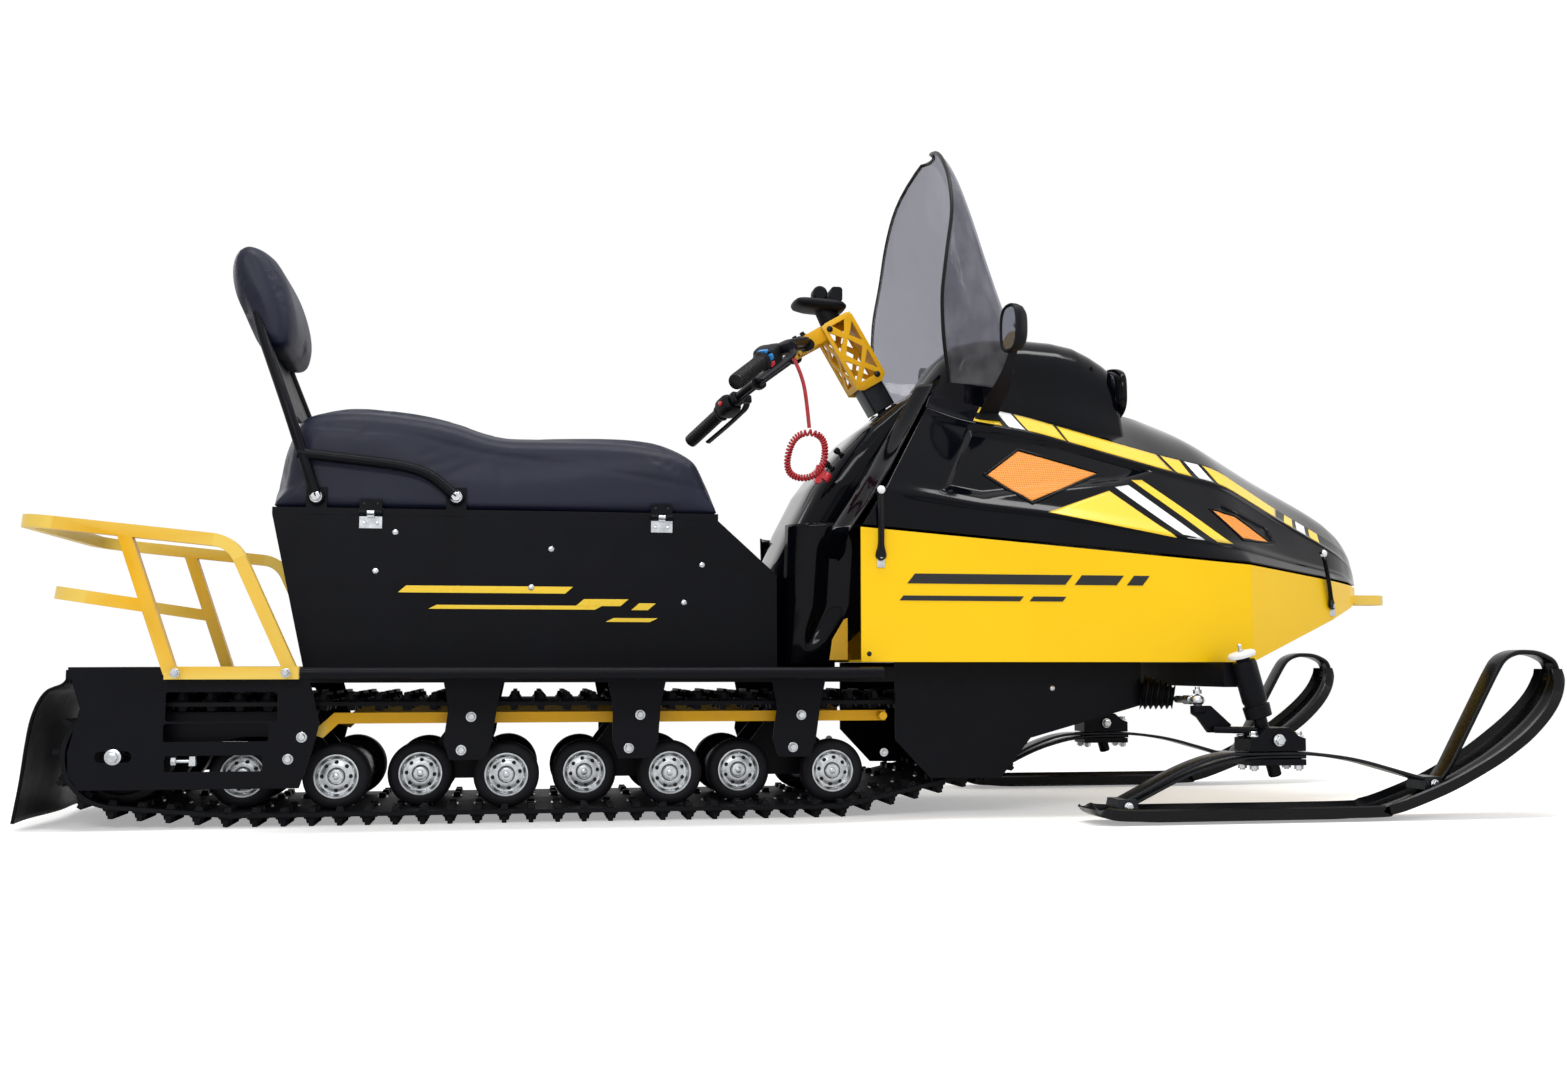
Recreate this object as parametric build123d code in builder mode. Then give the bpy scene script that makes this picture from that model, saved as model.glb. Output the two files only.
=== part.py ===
from build123d import *
import math
import os

# A two-ski snowmobile with one wide track, in millimetres.
# X runs forwards, Y to the rider's left and Z up from the floor.

os.makedirs("parts", exist_ok=True)

# Driving dimensions: clearances
SEAM = 6.0          # gap between panels that part
FIT = 0.3           # gap of a piece on its seat
RUNNING = 0.05      # radial gap of a shaft in its bore

# Driving dimensions: track and its wheels
LUG = 18.0          # height of a track lug
BELT = 8.0          # thickness of the belt
PITCH = 50.0        # distance between lugs
TRACK_HALF = 250.0  # half the track's width
WHEEL_R = 65.0      # road wheel with its tyre
WHEEL_WIDE = 48.0
HUB_R = 50.0
AXLE_R = 10.0
IDLER = (-1352.0, 137.0, 92.0)   # rear idler: X, Z and radius under the belt
SPROCKET = (345.0, 162.0, 66.0)  # drive drum: the same
WHEEL_Z = LUG + BELT + WHEEL_R
WHEEL_FACES = (205.0, 150.0)     # outer faces of the outer and the inner row
# Axle places along X, in pairs that share a rocker: outer row, then inner row
BOGIES = ((-959.0, -1143.0), (-632.0, -802.0), (-306.0, -476.0), (30.0, -158.0))

# Driving dimensions: tunnel and side plates
TUNNEL_HALF = 275.0
SHEET = 4.0
DECK_Z = 304.0
DECK_REAR = -1436.0
DECK_FRONT = 145.0
STRIP_Z = 274.0
RAIL_Y = 238.0
RAIL_T = 6.0
RAIL_LOW, RAIL_HIGH = 195.0, 216.0
BOARD_OUT = 400.0   # middle of the running board's edge tube
BOARD_REAR, BOARD_FRONT = -1000.0, 88.0
EDGE_R = 11.0

# Driving dimensions: seat and box
BOX_HALF = 190.0
BOX_T = 3.0
BOX_TOP = 605.0
BOX_REAR, BOX_FRONT = -1094.0, -208.0
SEAT_HALF = 185.0
BASE_T = 14.0
HINGE_R = 5.0
HINGES_X = (-905.0, -325.0)
HINGE_LONG = 44.0

# Driving dimensions: rack
TUBE = 24.0
RACK_BEND = 62.0

# Driving dimensions: body panels
COWL_HALF = 360.0
COWL_T = 4.0
COWL_FOOT = 314.0
SEAM_REAR = (57.0, 582.0)   # lower rear corner of the hood, X and Z
SEAM_SLOPE = 1.604          # rise over run of the hood's rear edge

# Driving dimensions: steering
COLUMN_R = 11.0
BUSH_T = 5.0
COLUMN_AT = (168.0, 908.0)  # a point on the column's axis, X and Z
COLUMN_TILT = 30.2          # degrees, top rearwards
BAR_R = 11.0
GRIP_R = 16.0
GRIP_IN, GRIP_OUT = 300.0, 400.0

# Driving dimensions: skis
STANCE = 450.0
SKI_HALF = 62.0
KEEL_HALF = 9.0
KING_R = 22.0
KING_TOP = (816.0, 324.0)   # spindle tube's axis, X and Z
KING_TILT = 15.3            # degrees, top rearwards
ROD_R = 8.0


def upright(y):
    """Sketch plane at one Y: X forwards, Z up, with its normal to the right."""
    return Plane.XZ.offset(-y)


def across(x):
    """Sketch plane at one X: Y to the left, Z up, with its normal forwards."""
    return Plane.YZ.offset(x)


def mirrored(points):
    """A right half outline, from its foot to its crown, with its left half."""
    return list(points) + [(-y, z) for y, z in reversed(points) if abs(y) > 1e-6]


def blend(table, x):
    """Value at x in a table of (x, value) rows, straight between rows."""
    if x <= table[0][0]:
        return table[0][1]
    for (x0, v0), (x1, v1) in zip(table, table[1:]):
        if x <= x1:
            return v0 + (v1 - v0) * (x - x0) / (x1 - x0)
    return table[-1][1]


def seam_plane(gap):
    """Sketch plane along the hood's rear edge, moved back by gap, facing back."""
    run = math.hypot(1, SEAM_SLOPE)
    back = (-SEAM_SLOPE / run, 0, 1 / run)
    x = SEAM_REAR[0] + back[0] * gap
    z = SEAM_REAR[1] + back[2] * gap
    return Plane(origin=(x, 0, z), x_dir=(0, 1, 0), z_dir=back)


def column_point(s):
    """Point on the column's axis, s up from COLUMN_AT: X and Z."""
    tilt = math.radians(COLUMN_TILT)
    return COLUMN_AT[0] - s * math.sin(tilt), COLUMN_AT[1] + s * math.cos(tilt)


def column_plane(s):
    """Sketch plane square to the column, s up from COLUMN_AT, facing up."""
    tilt = math.radians(COLUMN_TILT)
    x, z = column_point(s)
    return Plane(origin=(x, 0, z), x_dir=(0, 1, 0), z_dir=(-math.sin(tilt), 0, math.cos(tilt)))


def king_plane(s, y=-STANCE):
    """Sketch plane square to a spindle, s up from KING_TOP, facing up."""
    tilt = math.radians(KING_TILT)
    x, z = KING_TOP[0] - s * math.sin(tilt), KING_TOP[1] + s * math.cos(tilt)
    return Plane(origin=(x, y, z), x_dir=(0, 1, 0), z_dir=(-math.sin(tilt), 0, math.cos(tilt)))


def faceted(sections):
    """Solid with flat three-sided facets through closed sections of equal count."""
    count, sides = len(sections[0]), []
    for first, second in zip(sections, sections[1:]):
        for i in range(count):
            j = (i + 1) % count
            sides += [(first[i], first[j], second[j]), (first[i], second[j], second[i])]
    ends = [tuple(sections[0]), tuple(sections[-1])]
    faces = [Face(Wire.make_polygon([Vector(*p) for p in ring], close=True)) for ring in sides + ends]
    return Solid(Shell(faces))


# Track: one closed loop round the idler, the road wheels and the drive drum
guides = (
    IDLER,
    (min(min(pair) for pair in BOGIES), WHEEL_Z, WHEEL_R),
    (max(max(pair) for pair in BOGIES), WHEEL_Z, WHEEL_R),
    SPROCKET,
)

def belt_face(grow):
    """Flat face inside the tight loop round all guides, each grown by a margin."""
    with BuildSketch() as loop:
        with BuildLine():
            for x, z, r in guides:
                CenterArc((x, z), r + grow, 0, 360)
        make_hull()
    return loop.sketch.face()


belt_outer, belt_inner = belt_face(BELT), belt_face(0)
belt_path = belt_outer.outer_wire()
lug_count = round(belt_path.length / PITCH)
LUG_FOOT, LUG_TIP = 15.0, 7.0  # half widths of a lug
with BuildPart() as track:
    with BuildSketch(Plane.XZ):
        add(belt_outer)
        for i in range(lug_count):
            at, along = belt_path @ (i / lug_count), belt_path % (i / lug_count)
            turn = math.degrees(math.atan2(along.Y, along.X))
            with Locations(Location((at.X, at.Y, 0), (0, 0, turn))):
                Polygon((-LUG_FOOT, 2), (-LUG_TIP, -LUG), (LUG_TIP, -LUG), (LUG_FOOT, 2), align=None)
        add(belt_inner, mode=Mode.SUBTRACT)
    extrude(amount=TRACK_HALF, both=True)
track.part.label = "track"
export_step(track.part, "parts/track.step")

# Road wheels: a rubber ring round a dished hub, on both sides of each axle
SIDES = 20  # flats round a wheel
wheel_places = [(x, face) for pair in BOGIES for x, face in zip(pair, WHEEL_FACES)]


def wheel_plane(x, face, inset=0.0):
    """Sketch plane on a right wheel's outer face, with its normal inwards."""
    return Plane((x, -face + inset, WHEEL_Z), x_dir=(1, 0, 0), z_dir=(0, 1, 0))


SHOULDER = 7.0
TREAD_WIDE = WHEEL_WIDE - 2 * SHOULDER
with BuildPart() as bogie_tyres:
    for x, face in wheel_places:
        for inset, low, high in ((0, WHEEL_R - SHOULDER, WHEEL_R), (WHEEL_WIDE - SHOULDER, WHEEL_R, WHEEL_R - SHOULDER)):
            for shift, radius in ((0, low), (SHOULDER, high)):
                with BuildSketch(wheel_plane(x, face, inset + shift)):
                    RegularPolygon(radius - FIT, SIDES)
            loft()
        with BuildSketch(wheel_plane(x, face, SHOULDER)):
            RegularPolygon(WHEEL_R - FIT, SIDES)
        extrude(amount=TREAD_WIDE)
        with BuildSketch(wheel_plane(x, face)):
            RegularPolygon(HUB_R + FIT, SIDES)
        extrude(amount=WHEEL_WIDE, mode=Mode.SUBTRACT)
    mirror(about=Plane.XZ)
bogie_tyres.part.label = "bogie_tyres"
export_step(bogie_tyres.part, "parts/bogie_tyres.step")

DISH, RIM_T, DISC_T = 13.0, 8.0, 10.0
with BuildPart() as bogie_hubs:
    for x, face in wheel_places:
        with BuildSketch(wheel_plane(x, face, 3)):
            RegularPolygon(HUB_R, SIDES)
        extrude(amount=DISH + DISC_T - 3)
        with BuildSketch(wheel_plane(x, face, 3)):
            RegularPolygon(HUB_R - RIM_T, SIDES)
            RegularPolygon(18, SIDES // 2, mode=Mode.SUBTRACT)
        extrude(amount=DISH - 3, mode=Mode.SUBTRACT)
    mirror(about=Plane.XZ)
bogie_hubs.part.label = "bogie_hubs"
export_step(bogie_hubs.part, "parts/bogie_hubs.step")

# Rockers: a cross tube from rail to rail, two plates a side and the axles
ROCKER_Y = WHEEL_FACES[1] - WHEEL_WIDE - 10
PIVOT_Z = (RAIL_LOW + RAIL_HIGH) / 2
with BuildPart() as bogie_rockers:
    for outer_x, inner_x in BOGIES:
        middle = (outer_x + inner_x) / 2
        with BuildSketch(upright(-ROCKER_Y)):
            Polygon((outer_x, WHEEL_Z), (middle, PIVOT_Z), (inner_x, WHEEL_Z), align=None)
            offset(amount=13, kind=Kind.INTERSECTION)
        extrude(amount=6)
        for x, face in ((outer_x, WHEEL_FACES[0]), (inner_x, WHEEL_FACES[1])):
            with BuildSketch(upright(-ROCKER_Y)):
                with Locations((x, WHEEL_Z)):
                    RegularPolygon(AXLE_R, SIDES // 2)
            extrude(amount=face - ROCKER_Y - DISH - DISC_T - FIT)
        with BuildSketch(upright(0)):
            with Locations((middle, PIVOT_Z)):
                RegularPolygon(9, SIDES // 2)
        extrude(amount=RAIL_Y - FIT)
    mirror(about=Plane.XZ)
bogie_rockers.part.label = "bogie_rockers"
export_step(bogie_rockers.part, "parts/bogie_rockers.step")

# Side plates: strip, rear plate with its windows, hanging tabs and front foot
REAR_PLATE = (
    (DECK_REAR, DECK_Z - SHEET), (-1413, 228), (-1432, 146), (-1430, 106), (-1412, 76),
    (-1018, 75), (-994, 150), (-983, 196), (-994, 248), (-1010, DECK_Z - SHEET),
)
# Windows in the rear plate: low X, high X, low Z, high Z
WINDOWS = ((-1262, -1061, 202, 257), (-1265, -1076, 164, 198), (-1262, -1086, 108, 138))
# Tabs: X of the middle at the top and of the middle at the foot, with both half widths
TABS = ((-697, -706, 56, 46), (-380, -382, 57, 45), (-55, -64, 54, 44))
TAB_FOOT, TAB_BOLT_LOW = 125.0, 145.0
AXLE_SLOT = 44.0
with BuildPart() as side_plates:
    with BuildSketch(upright(-TUNNEL_HALF)):
        Polygon(
            (DECK_REAR + 60, STRIP_Z), (DECK_FRONT, STRIP_Z), (DECK_FRONT, DECK_Z - SHEET),
            (DECK_REAR + 60, DECK_Z - SHEET), align=None,
        )
        Polygon(*REAR_PLATE, align=None)
        for top, foot, half_top, half_foot in TABS:
            Polygon(
                (top - half_top, STRIP_Z), (top - half_top + 10, 226), (foot - half_foot, 160),
                (foot - half_foot + 12, TAB_FOOT), (foot + half_foot - 12, TAB_FOOT),
                (foot + half_foot, 160), (top + half_top - 10, 226), (top + half_top, STRIP_Z), align=None,
            )
        for low_x, high_x, low_z, high_z in WINDOWS:
            with Locations(((low_x + high_x) / 2, (low_z + high_z) / 2)):
                RectangleRounded(high_x - low_x, high_z - low_z, 5, mode=Mode.SUBTRACT)
        with Locations(IDLER[:2]):
            SlotCenterToCenter(AXLE_SLOT, 2 * AXLE_R + 1, mode=Mode.SUBTRACT)
    extrude(amount=SHEET)
    mirror(about=Plane.XZ)
side_plates.part.label = "side_plates"
export_step(side_plates.part, "parts/side_plates.step")

# Tunnel deck over the track, with a turned-down rear edge
with BuildPart() as tunnel_deck:
    with BuildSketch(upright(-TUNNEL_HALF - SHEET)):
        Polygon(
            (DECK_REAR, DECK_Z), (DECK_FRONT, DECK_Z), (DECK_FRONT, DECK_Z - SHEET),
            (DECK_REAR, DECK_Z - SHEET), align=None,
        )
    extrude(amount=-2 * (TUNNEL_HALF + SHEET))
    with BuildSketch(upright(-TUNNEL_HALF + FIT)):
        Polygon(
            (DECK_REAR, DECK_Z - SHEET), (DECK_REAR + SHEET, DECK_Z - SHEET),
            (DECK_REAR + SHEET, STRIP_Z), (DECK_REAR, STRIP_Z), align=None,
        )
    extrude(amount=-2 * (TUNNEL_HALF - FIT))
tunnel_deck.part.label = "tunnel_deck"
export_step(tunnel_deck.part, "parts/tunnel_deck.step")

# Running boards: sheet with oval holes and a round edge tube
with BuildPart() as running_boards:
    inner = TUNNEL_HALF + SHEET
    length, wide = BOARD_FRONT - BOARD_REAR, BOARD_OUT - inner
    with BuildSketch(Plane.XY.offset(DECK_Z - SHEET)):
        with Locations(((BOARD_FRONT + BOARD_REAR) / 2, -(inner + BOARD_OUT) / 2)):
            Rectangle(length, wide)
            with GridLocations(90, 50, 11, 2):
                Polygon(
                    (-28, 0), (-20, 8), (20, 8), (28, 0), (20, -8), (-20, -8),
                    align=None, mode=Mode.SUBTRACT,
                )
    extrude(amount=SHEET)
    with BuildSketch(across(BOARD_REAR)):
        with Locations((-BOARD_OUT, DECK_Z - EDGE_R)):
            Circle(EDGE_R)
        with Locations((-inner - 1.5, DECK_Z - 12)):
            Rectangle(3, 24)
    extrude(amount=length)
    mirror(about=Plane.XZ)
running_boards.part.label = "running_boards"
export_step(running_boards.part, "parts/running_boards.step")

# Slide rails: flat bars with a curved rear end and spacers out to the tabs
with BuildPart() as slide_rails:
    with BuildSketch(upright(-RAIL_Y)):
        Polygon(
            (-960, RAIL_HIGH), (132, RAIL_HIGH), (132, RAIL_LOW), (-952, RAIL_LOW),
            (-980, 168), (-1004, 176), align=None,
        )
    extrude(amount=RAIL_T)
    with BuildSketch(upright(-RAIL_Y - RAIL_T)):
        for top, foot, half_top, half_foot in TABS:
            with Locations((top - 3, PIVOT_Z)):
                Circle(12)
        with Locations((120, PIVOT_Z)):
            Circle(8)
    extrude(amount=TUNNEL_HALF - RAIL_Y - RAIL_T)
    mirror(about=Plane.XZ)
slide_rails.part.label = "slide_rails"
export_step(slide_rails.part, "parts/slide_rails.step")

# Rear idlers on their axle, which ends in the side plates' slots
IDLER_PLACES = (-190.0, 0.0, 190.0)
IDLER_FACE = 38.0


def idler_plane(y):
    """Sketch plane square to the rear axle at one Y, with its normal to the left."""
    return Plane((IDLER[0], y, IDLER[1]), x_dir=(1, 0, 0), z_dir=(0, 1, 0))


with BuildPart() as idler_wheels:
    for y in IDLER_PLACES:
        with BuildSketch(idler_plane(y - IDLER_FACE / 2)):
            RegularPolygon(IDLER[2] - FIT, SIDES)
            RegularPolygon(IDLER[2] - 16, SIDES, mode=Mode.SUBTRACT)
        extrude(amount=IDLER_FACE)
        with BuildSketch(idler_plane(y - 6)):
            RegularPolygon(IDLER[2] - 8, SIDES)
            with PolarLocations(50, 5):
                RegularPolygon(17, 5, mode=Mode.SUBTRACT)
        extrude(amount=12)
    with BuildSketch(idler_plane(-TUNNEL_HALF - SHEET - 6)):
        RegularPolygon(AXLE_R, SIDES // 2)
    extrude(amount=2 * (TUNNEL_HALF + SHEET + 6))
idler_wheels.part.label = "idler_wheels"
export_step(idler_wheels.part, "parts/idler_wheels.step")

# Drive shaft with three toothed drums
TEETH = 8
BELLY_HALF = 270.0
with BuildPart() as drive_shaft:
    with BuildSketch(Plane((SPROCKET[0], -BELLY_HALF + FIT, SPROCKET[1]), x_dir=(1, 0, 0), z_dir=(0, 1, 0))):
        RegularPolygon(15, SIDES // 2)
    extrude(amount=2 * (BELLY_HALF - FIT))
    for y in (-150, 0, 150):
        with BuildSketch(Plane((SPROCKET[0], y - 20, SPROCKET[1]), x_dir=(1, 0, 0), z_dir=(0, 1, 0))):
            RegularPolygon(SPROCKET[2] - 10, 2 * TEETH)
            with PolarLocations(SPROCKET[2] - 14, TEETH):
                Rectangle(21, 18)
        extrude(amount=40)
drive_shaft.part.label = "drive_shaft"
export_step(drive_shaft.part, "parts/drive_shaft.step")

# Storage box of folded sheet under the seat, open at the top
BOX_SIDE = (
    (BOX_REAR, BOX_TOP), (-1028, DECK_Z), (-84, DECK_Z), (-85, 494), (BOX_FRONT, BOX_TOP),
)
with BuildPart() as seat_box:
    with BuildSketch(upright(BOX_HALF)):
        Polygon(*BOX_SIDE, align=None)
    extrude(amount=2 * BOX_HALF)
    offset(amount=-BOX_T, openings=seat_box.faces().sort_by(Axis.Z)[-1:], kind=Kind.INTERSECTION)
seat_box.part.label = "seat_box"
export_step(seat_box.part, "parts/seat_box.step")

# Seat hinges: fixed leaves with one knuckle, and turning leaves with two
PIN_Y = -BOX_HALF - HINGE_R - 1
PIN_Z = BOX_TOP + HINGE_R
LEAF_T = 2.0
LEAF_HIGH = 24.0
with BuildPart() as hinge_fixed:
    for x in HINGES_X:
        with BuildSketch(upright(-BOX_HALF)):
            with Locations((x, BOX_TOP - 2 - LEAF_HIGH / 2)):
                Rectangle(HINGE_LONG, LEAF_HIGH)
        extrude(amount=LEAF_T)
        with BuildSketch(across(x - HINGE_LONG / 6 + FIT)):
            with Locations((PIN_Y, PIN_Z)):
                Circle(HINGE_R)
            with Locations(((PIN_Y - BOX_HALF) / 2, PIN_Z - HINGE_R - 1)):
                Rectangle(-BOX_HALF - PIN_Y, 6)
        extrude(amount=HINGE_LONG / 3 - 2 * FIT)
hinge_fixed.part.label = "hinge_fixed"
export_step(hinge_fixed.part, "parts/hinge_fixed.step")

BASE_Z = BOX_TOP + FIT
with BuildPart() as hinge_turning:
    for x in HINGES_X:
        with BuildSketch(upright(-BOX_HALF)):
            with Locations((x, PIN_Z + 3 + LEAF_HIGH / 2)):
                Rectangle(HINGE_LONG, LEAF_HIGH)
        extrude(amount=LEAF_T)
        for start in (-HINGE_LONG / 2, HINGE_LONG / 6 + FIT):
            with BuildSketch(across(x + start)):
                with Locations((PIN_Y, PIN_Z)):
                    Circle(HINGE_R)
                with Locations(((PIN_Y - BOX_HALF) / 2, PIN_Z + HINGE_R)):
                    Rectangle(-BOX_HALF - PIN_Y, 4)
            extrude(amount=HINGE_LONG / 3 - FIT)
hinge_turning.part.label = "hinge_turning"
export_step(hinge_turning.part, "parts/hinge_turning.step")

# Seat base: a tray that closes the box, with an ear for each foot of the backrest
BACK_FOOT, GRAB_FOOT = (-1010.0, 640.0), (-739.0, 644.0)
EAR_T, EAR_HALF = 4.0, 20.0
with BuildPart() as seat_base:
    with BuildSketch(Plane.XY.offset(BASE_Z)):
        with Locations(((BOX_REAR + BOX_FRONT) / 2, 0)):
            Rectangle(BOX_FRONT - BOX_REAR, 2 * BOX_HALF)
    extrude(amount=BASE_T)
    for x, z in (BACK_FOOT, GRAB_FOOT):
        with BuildSketch(upright(-BOX_HALF + EAR_T)):
            with Locations((x, (BASE_Z + z + EAR_HALF) / 2)):
                Rectangle(2 * EAR_HALF, z + EAR_HALF - BASE_Z)
        extrude(amount=EAR_T)
    mirror(about=Plane.XZ)
seat_base.part.label = "seat_base"
export_step(seat_base.part, "parts/seat_base.step")

# Seat cushion: two-level side profile, crowned over its width by a fillet
CUSHION_SIDE = (
    (BOX_REAR + 6, BASE_Z + BASE_T), (-1072, 800), (-1052, 834), (-981, 847), (-868, 844),
    (-742, 823), (-657, 799), (-530, 797), (-356, 790), (-246, 768), (-213, 730),
    (BOX_FRONT - 2, BASE_Z + BASE_T),
)
with BuildPart() as seat_cushion:
    with BuildSketch(upright(SEAT_HALF)):
        Polygon(*CUSHION_SIDE, align=None)
    extrude(amount=2 * SEAT_HALF)
    top = seat_cushion.faces().filter_by(lambda f: f.normal_at().Z > 0.4)
    rim = [e for f in top for e in f.edges() if abs(abs(e.center().Y) - SEAT_HALF) < 1]
    chamfer(rim, 26)
seat_cushion.part.label = "seat_cushion"
export_step(seat_cushion.part, "parts/seat_cushion.step")

# Backrest: two side bars, grab bars and a crossbar that runs through the pad
BACK_BAR = 10.0
FOOT_T = 12.0
BACK_Y = BOX_HALF + FIT + BACK_BAR
CROSS = (-1140.0, 1020.0)
BAR_SIDE = (BACK_FOOT, (-1068, 816), (-1126, 966), CROSS)
GRAB_SIDE = ((-1047, 726), (-852, 706), (-793, 691), GRAB_FOOT)
with BuildPart() as backrest_frame:
    for route in (BAR_SIDE, GRAB_SIDE):
        with BuildLine() as bar_line:
            FilletPolyline(*[(x, -BACK_Y, z) for x, z in route], radius=40)
        with BuildSketch(Plane(origin=bar_line.line @ 0, z_dir=bar_line.line % 0)):
            RegularPolygon(BACK_BAR, 10)
        sweep(path=bar_line.line)
    for x, z in (BACK_FOOT, GRAB_FOOT):
        with BuildSketch(upright(-BOX_HALF - FIT)):
            with Locations((x, z)):
                RegularPolygon(16, SIDES // 2)
        extrude(amount=FOOT_T)
    with BuildSketch(upright(0)):
        with Locations(CROSS):
            RegularPolygon(BACK_BAR, 10)
    extrude(amount=BACK_Y + BACK_BAR)
    mirror(about=Plane.XZ)
backrest_frame.part.label = "backrest_frame"
export_step(backrest_frame.part, "parts/backrest_frame.step")

# Backrest pad, threaded on the crossbar
PAD_HALF = 170.0
PAD_SIDE = (
    (-1165, 1150), (-1187, 1114), (-1150, 990), (-1102, 952), (-1074, 892), (-1050, 879), (-1033, 896),
    (-1062, 975), (-1112, 1105), (-1132, 1144),
)
with BuildPart() as backrest_pad:
    with BuildSketch(upright(PAD_HALF)):
        Polygon(*PAD_SIDE, align=None)
        with Locations(CROSS):
            RegularPolygon(BACK_BAR + FIT, 10, mode=Mode.SUBTRACT)
    extrude(amount=2 * PAD_HALF)
backrest_pad.part.label = "backrest_pad"
export_step(backrest_pad.part, "parts/backrest_pad.step")

# Rear rack: one tall hoop, a lower hoop, two posts and two foot bars
RACK_Y = TUNNEL_HALF + SHEET + TUBE / 2
FOOT_FRONT, FOOT_REAR = -1020.0, -1262.0
RACK_HOOP = ((FOOT_FRONT - 14, 293), (-1148, 541), (-1527, 578))
RACK_POST = ((-1252, 293), (-1342, 555))
LOWER_HOOP = ((-1297, 418), (-1463, 443))


def hoop(points):
    """Route of a hoop: the right side, round the rear and back on the left."""
    right = [(x, -RACK_Y, z) for x, z in points]
    return right + [(x, -y, z) for x, y, z in reversed(right)]


with BuildPart() as rear_rack:
    for points in (RACK_HOOP, LOWER_HOOP):
        with BuildLine() as hoop_line:
            FilletPolyline(*hoop(points), radius=RACK_BEND)
        with BuildSketch(Plane(origin=hoop_line.line @ 0, x_dir=(0, 1, 0), z_dir=hoop_line.line % 0)):
            Rectangle(TUBE, TUBE)
        sweep(path=hoop_line.line)
    for y in (-RACK_Y, RACK_Y):
        with BuildLine() as post_line:
            Line((RACK_POST[0][0], y, RACK_POST[0][1]), (RACK_POST[1][0], y, RACK_POST[1][1]))
        with BuildSketch(Plane(origin=post_line.line @ 0, x_dir=(0, 1, 0), z_dir=post_line.line % 0)):
            Rectangle(TUBE, TUBE)
        sweep(path=post_line.line)
        with BuildSketch(upright(y + TUBE / 2)):
            with Locations(((FOOT_FRONT + FOOT_REAR) / 2, 293)):
                Rectangle(FOOT_FRONT - FOOT_REAR, TUBE)
        extrude(amount=TUBE)
rear_rack.part.label = "rear_rack"
export_step(rear_rack.part, "parts/rear_rack.step")

# Snow flap: one rubber sheet that hangs from the deck's rear edge
FLAP_HALF = 265.0
FLAP_T = 6.0
FLAP_LINE = ((-1439.5, 300), (-1439.5, 276), (-1482, 262), (-1508, 205), (-1512, 160), (-1529, 14))
with BuildPart() as snow_flap:
    with BuildSketch(upright(FLAP_HALF)):
        with BuildLine():
            outer_edge = Polyline(*FLAP_LINE)
            offset(amount=FLAP_T / 2)
        make_face()
    extrude(amount=2 * FLAP_HALF)
snow_flap.part.label = "snow_flap"
export_step(snow_flap.part, "parts/snow_flap.step")

# Belly pan: side plates round the drive drum and a sloped floor ahead of it
BELLY_TOP = COWL_FOOT - FIT
BELLY_REAR, BELLY_FRONT = DECK_FRONT + FIT, 675.0
BELLY_SIDE = (
    (BELLY_REAR, BELLY_TOP), (BELLY_REAR, 156), (218, 79), (367, 77), (432, 158), (674, 224), (BELLY_FRONT, BELLY_TOP),
)
with BuildPart() as belly_pan:
    with BuildSketch(upright(-BELLY_HALF)):
        Polygon(*BELLY_SIDE, align=None)
    extrude(amount=SHEET)
    mirror(about=Plane.XZ)
    with BuildSketch(upright(BELLY_HALF)):
        Polygon(
            (438, 160), (674, 224), (BELLY_FRONT, BELLY_TOP), (BELLY_FRONT - SHEET, BELLY_TOP), (670, 228), (437, 164),
            align=None,
        )
    extrude(amount=2 * BELLY_HALF)
belly_pan.part.label = "belly_pan"
export_step(belly_pan.part, "parts/belly_pan.step")

# Body sections: seam height and half width against X
NOSE_X = 1308.0
SEAM_Z = ((56.0, 582.0), (889.0, 515.0), (1160.0, 494.0), (1320.0, 486.0))
BODY_HALF = ((56.0, COWL_HALF), (885.0, COWL_HALF), (1163.0, 190.0), (1258.0, 100.0), (NOSE_X, 34.0))
FOOT_Z = ((56.0, COWL_FOOT), (900.0, COWL_FOOT), (1163.0, 408.0), (1215.0, 425.0), (NOSE_X, 452.0))
COWL_STATIONS = (56.0, 885.0, 1163.0, 1258.0, NOSE_X)


def cowl_section(x, inset, lift, push=0.0):
    """Closed section of the lower cowl at x, inset all round and lifted at the top."""
    half, foot, top = blend(BODY_HALF, x) - inset, blend(FOOT_Z, x) + inset, blend(SEAM_Z, x) + lift
    return [(x + push, y, z) for y, z in ((-half, top), (-half, foot), (half, foot), (half, top))]


# Lower cowl: a tub of sheet, open at the top and at the rear
with BuildPart() as lower_cowl:
    add(faceted([cowl_section(x, 0, 0) for x in COWL_STATIONS]))
    pushes = [-1.0] + [0.0] * (len(COWL_STATIONS) - 2) + [-COWL_T]
    add(faceted([cowl_section(x, COWL_T, 20, push) for x, push in zip(COWL_STATIONS, pushes)]), mode=Mode.SUBTRACT)
    with BuildSketch(Plane.XY.offset(COWL_FOOT - 1)):
        with Locations(((DECK_FRONT + 330) / 2 + 110, 0)):
            Rectangle(640, 2 * BELLY_HALF - 60)
    extrude(amount=COWL_T + 2, mode=Mode.SUBTRACT)
lower_cowl.part.label = "lower_cowl"
export_step(lower_cowl.part, "parts/lower_cowl.step")

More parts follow.
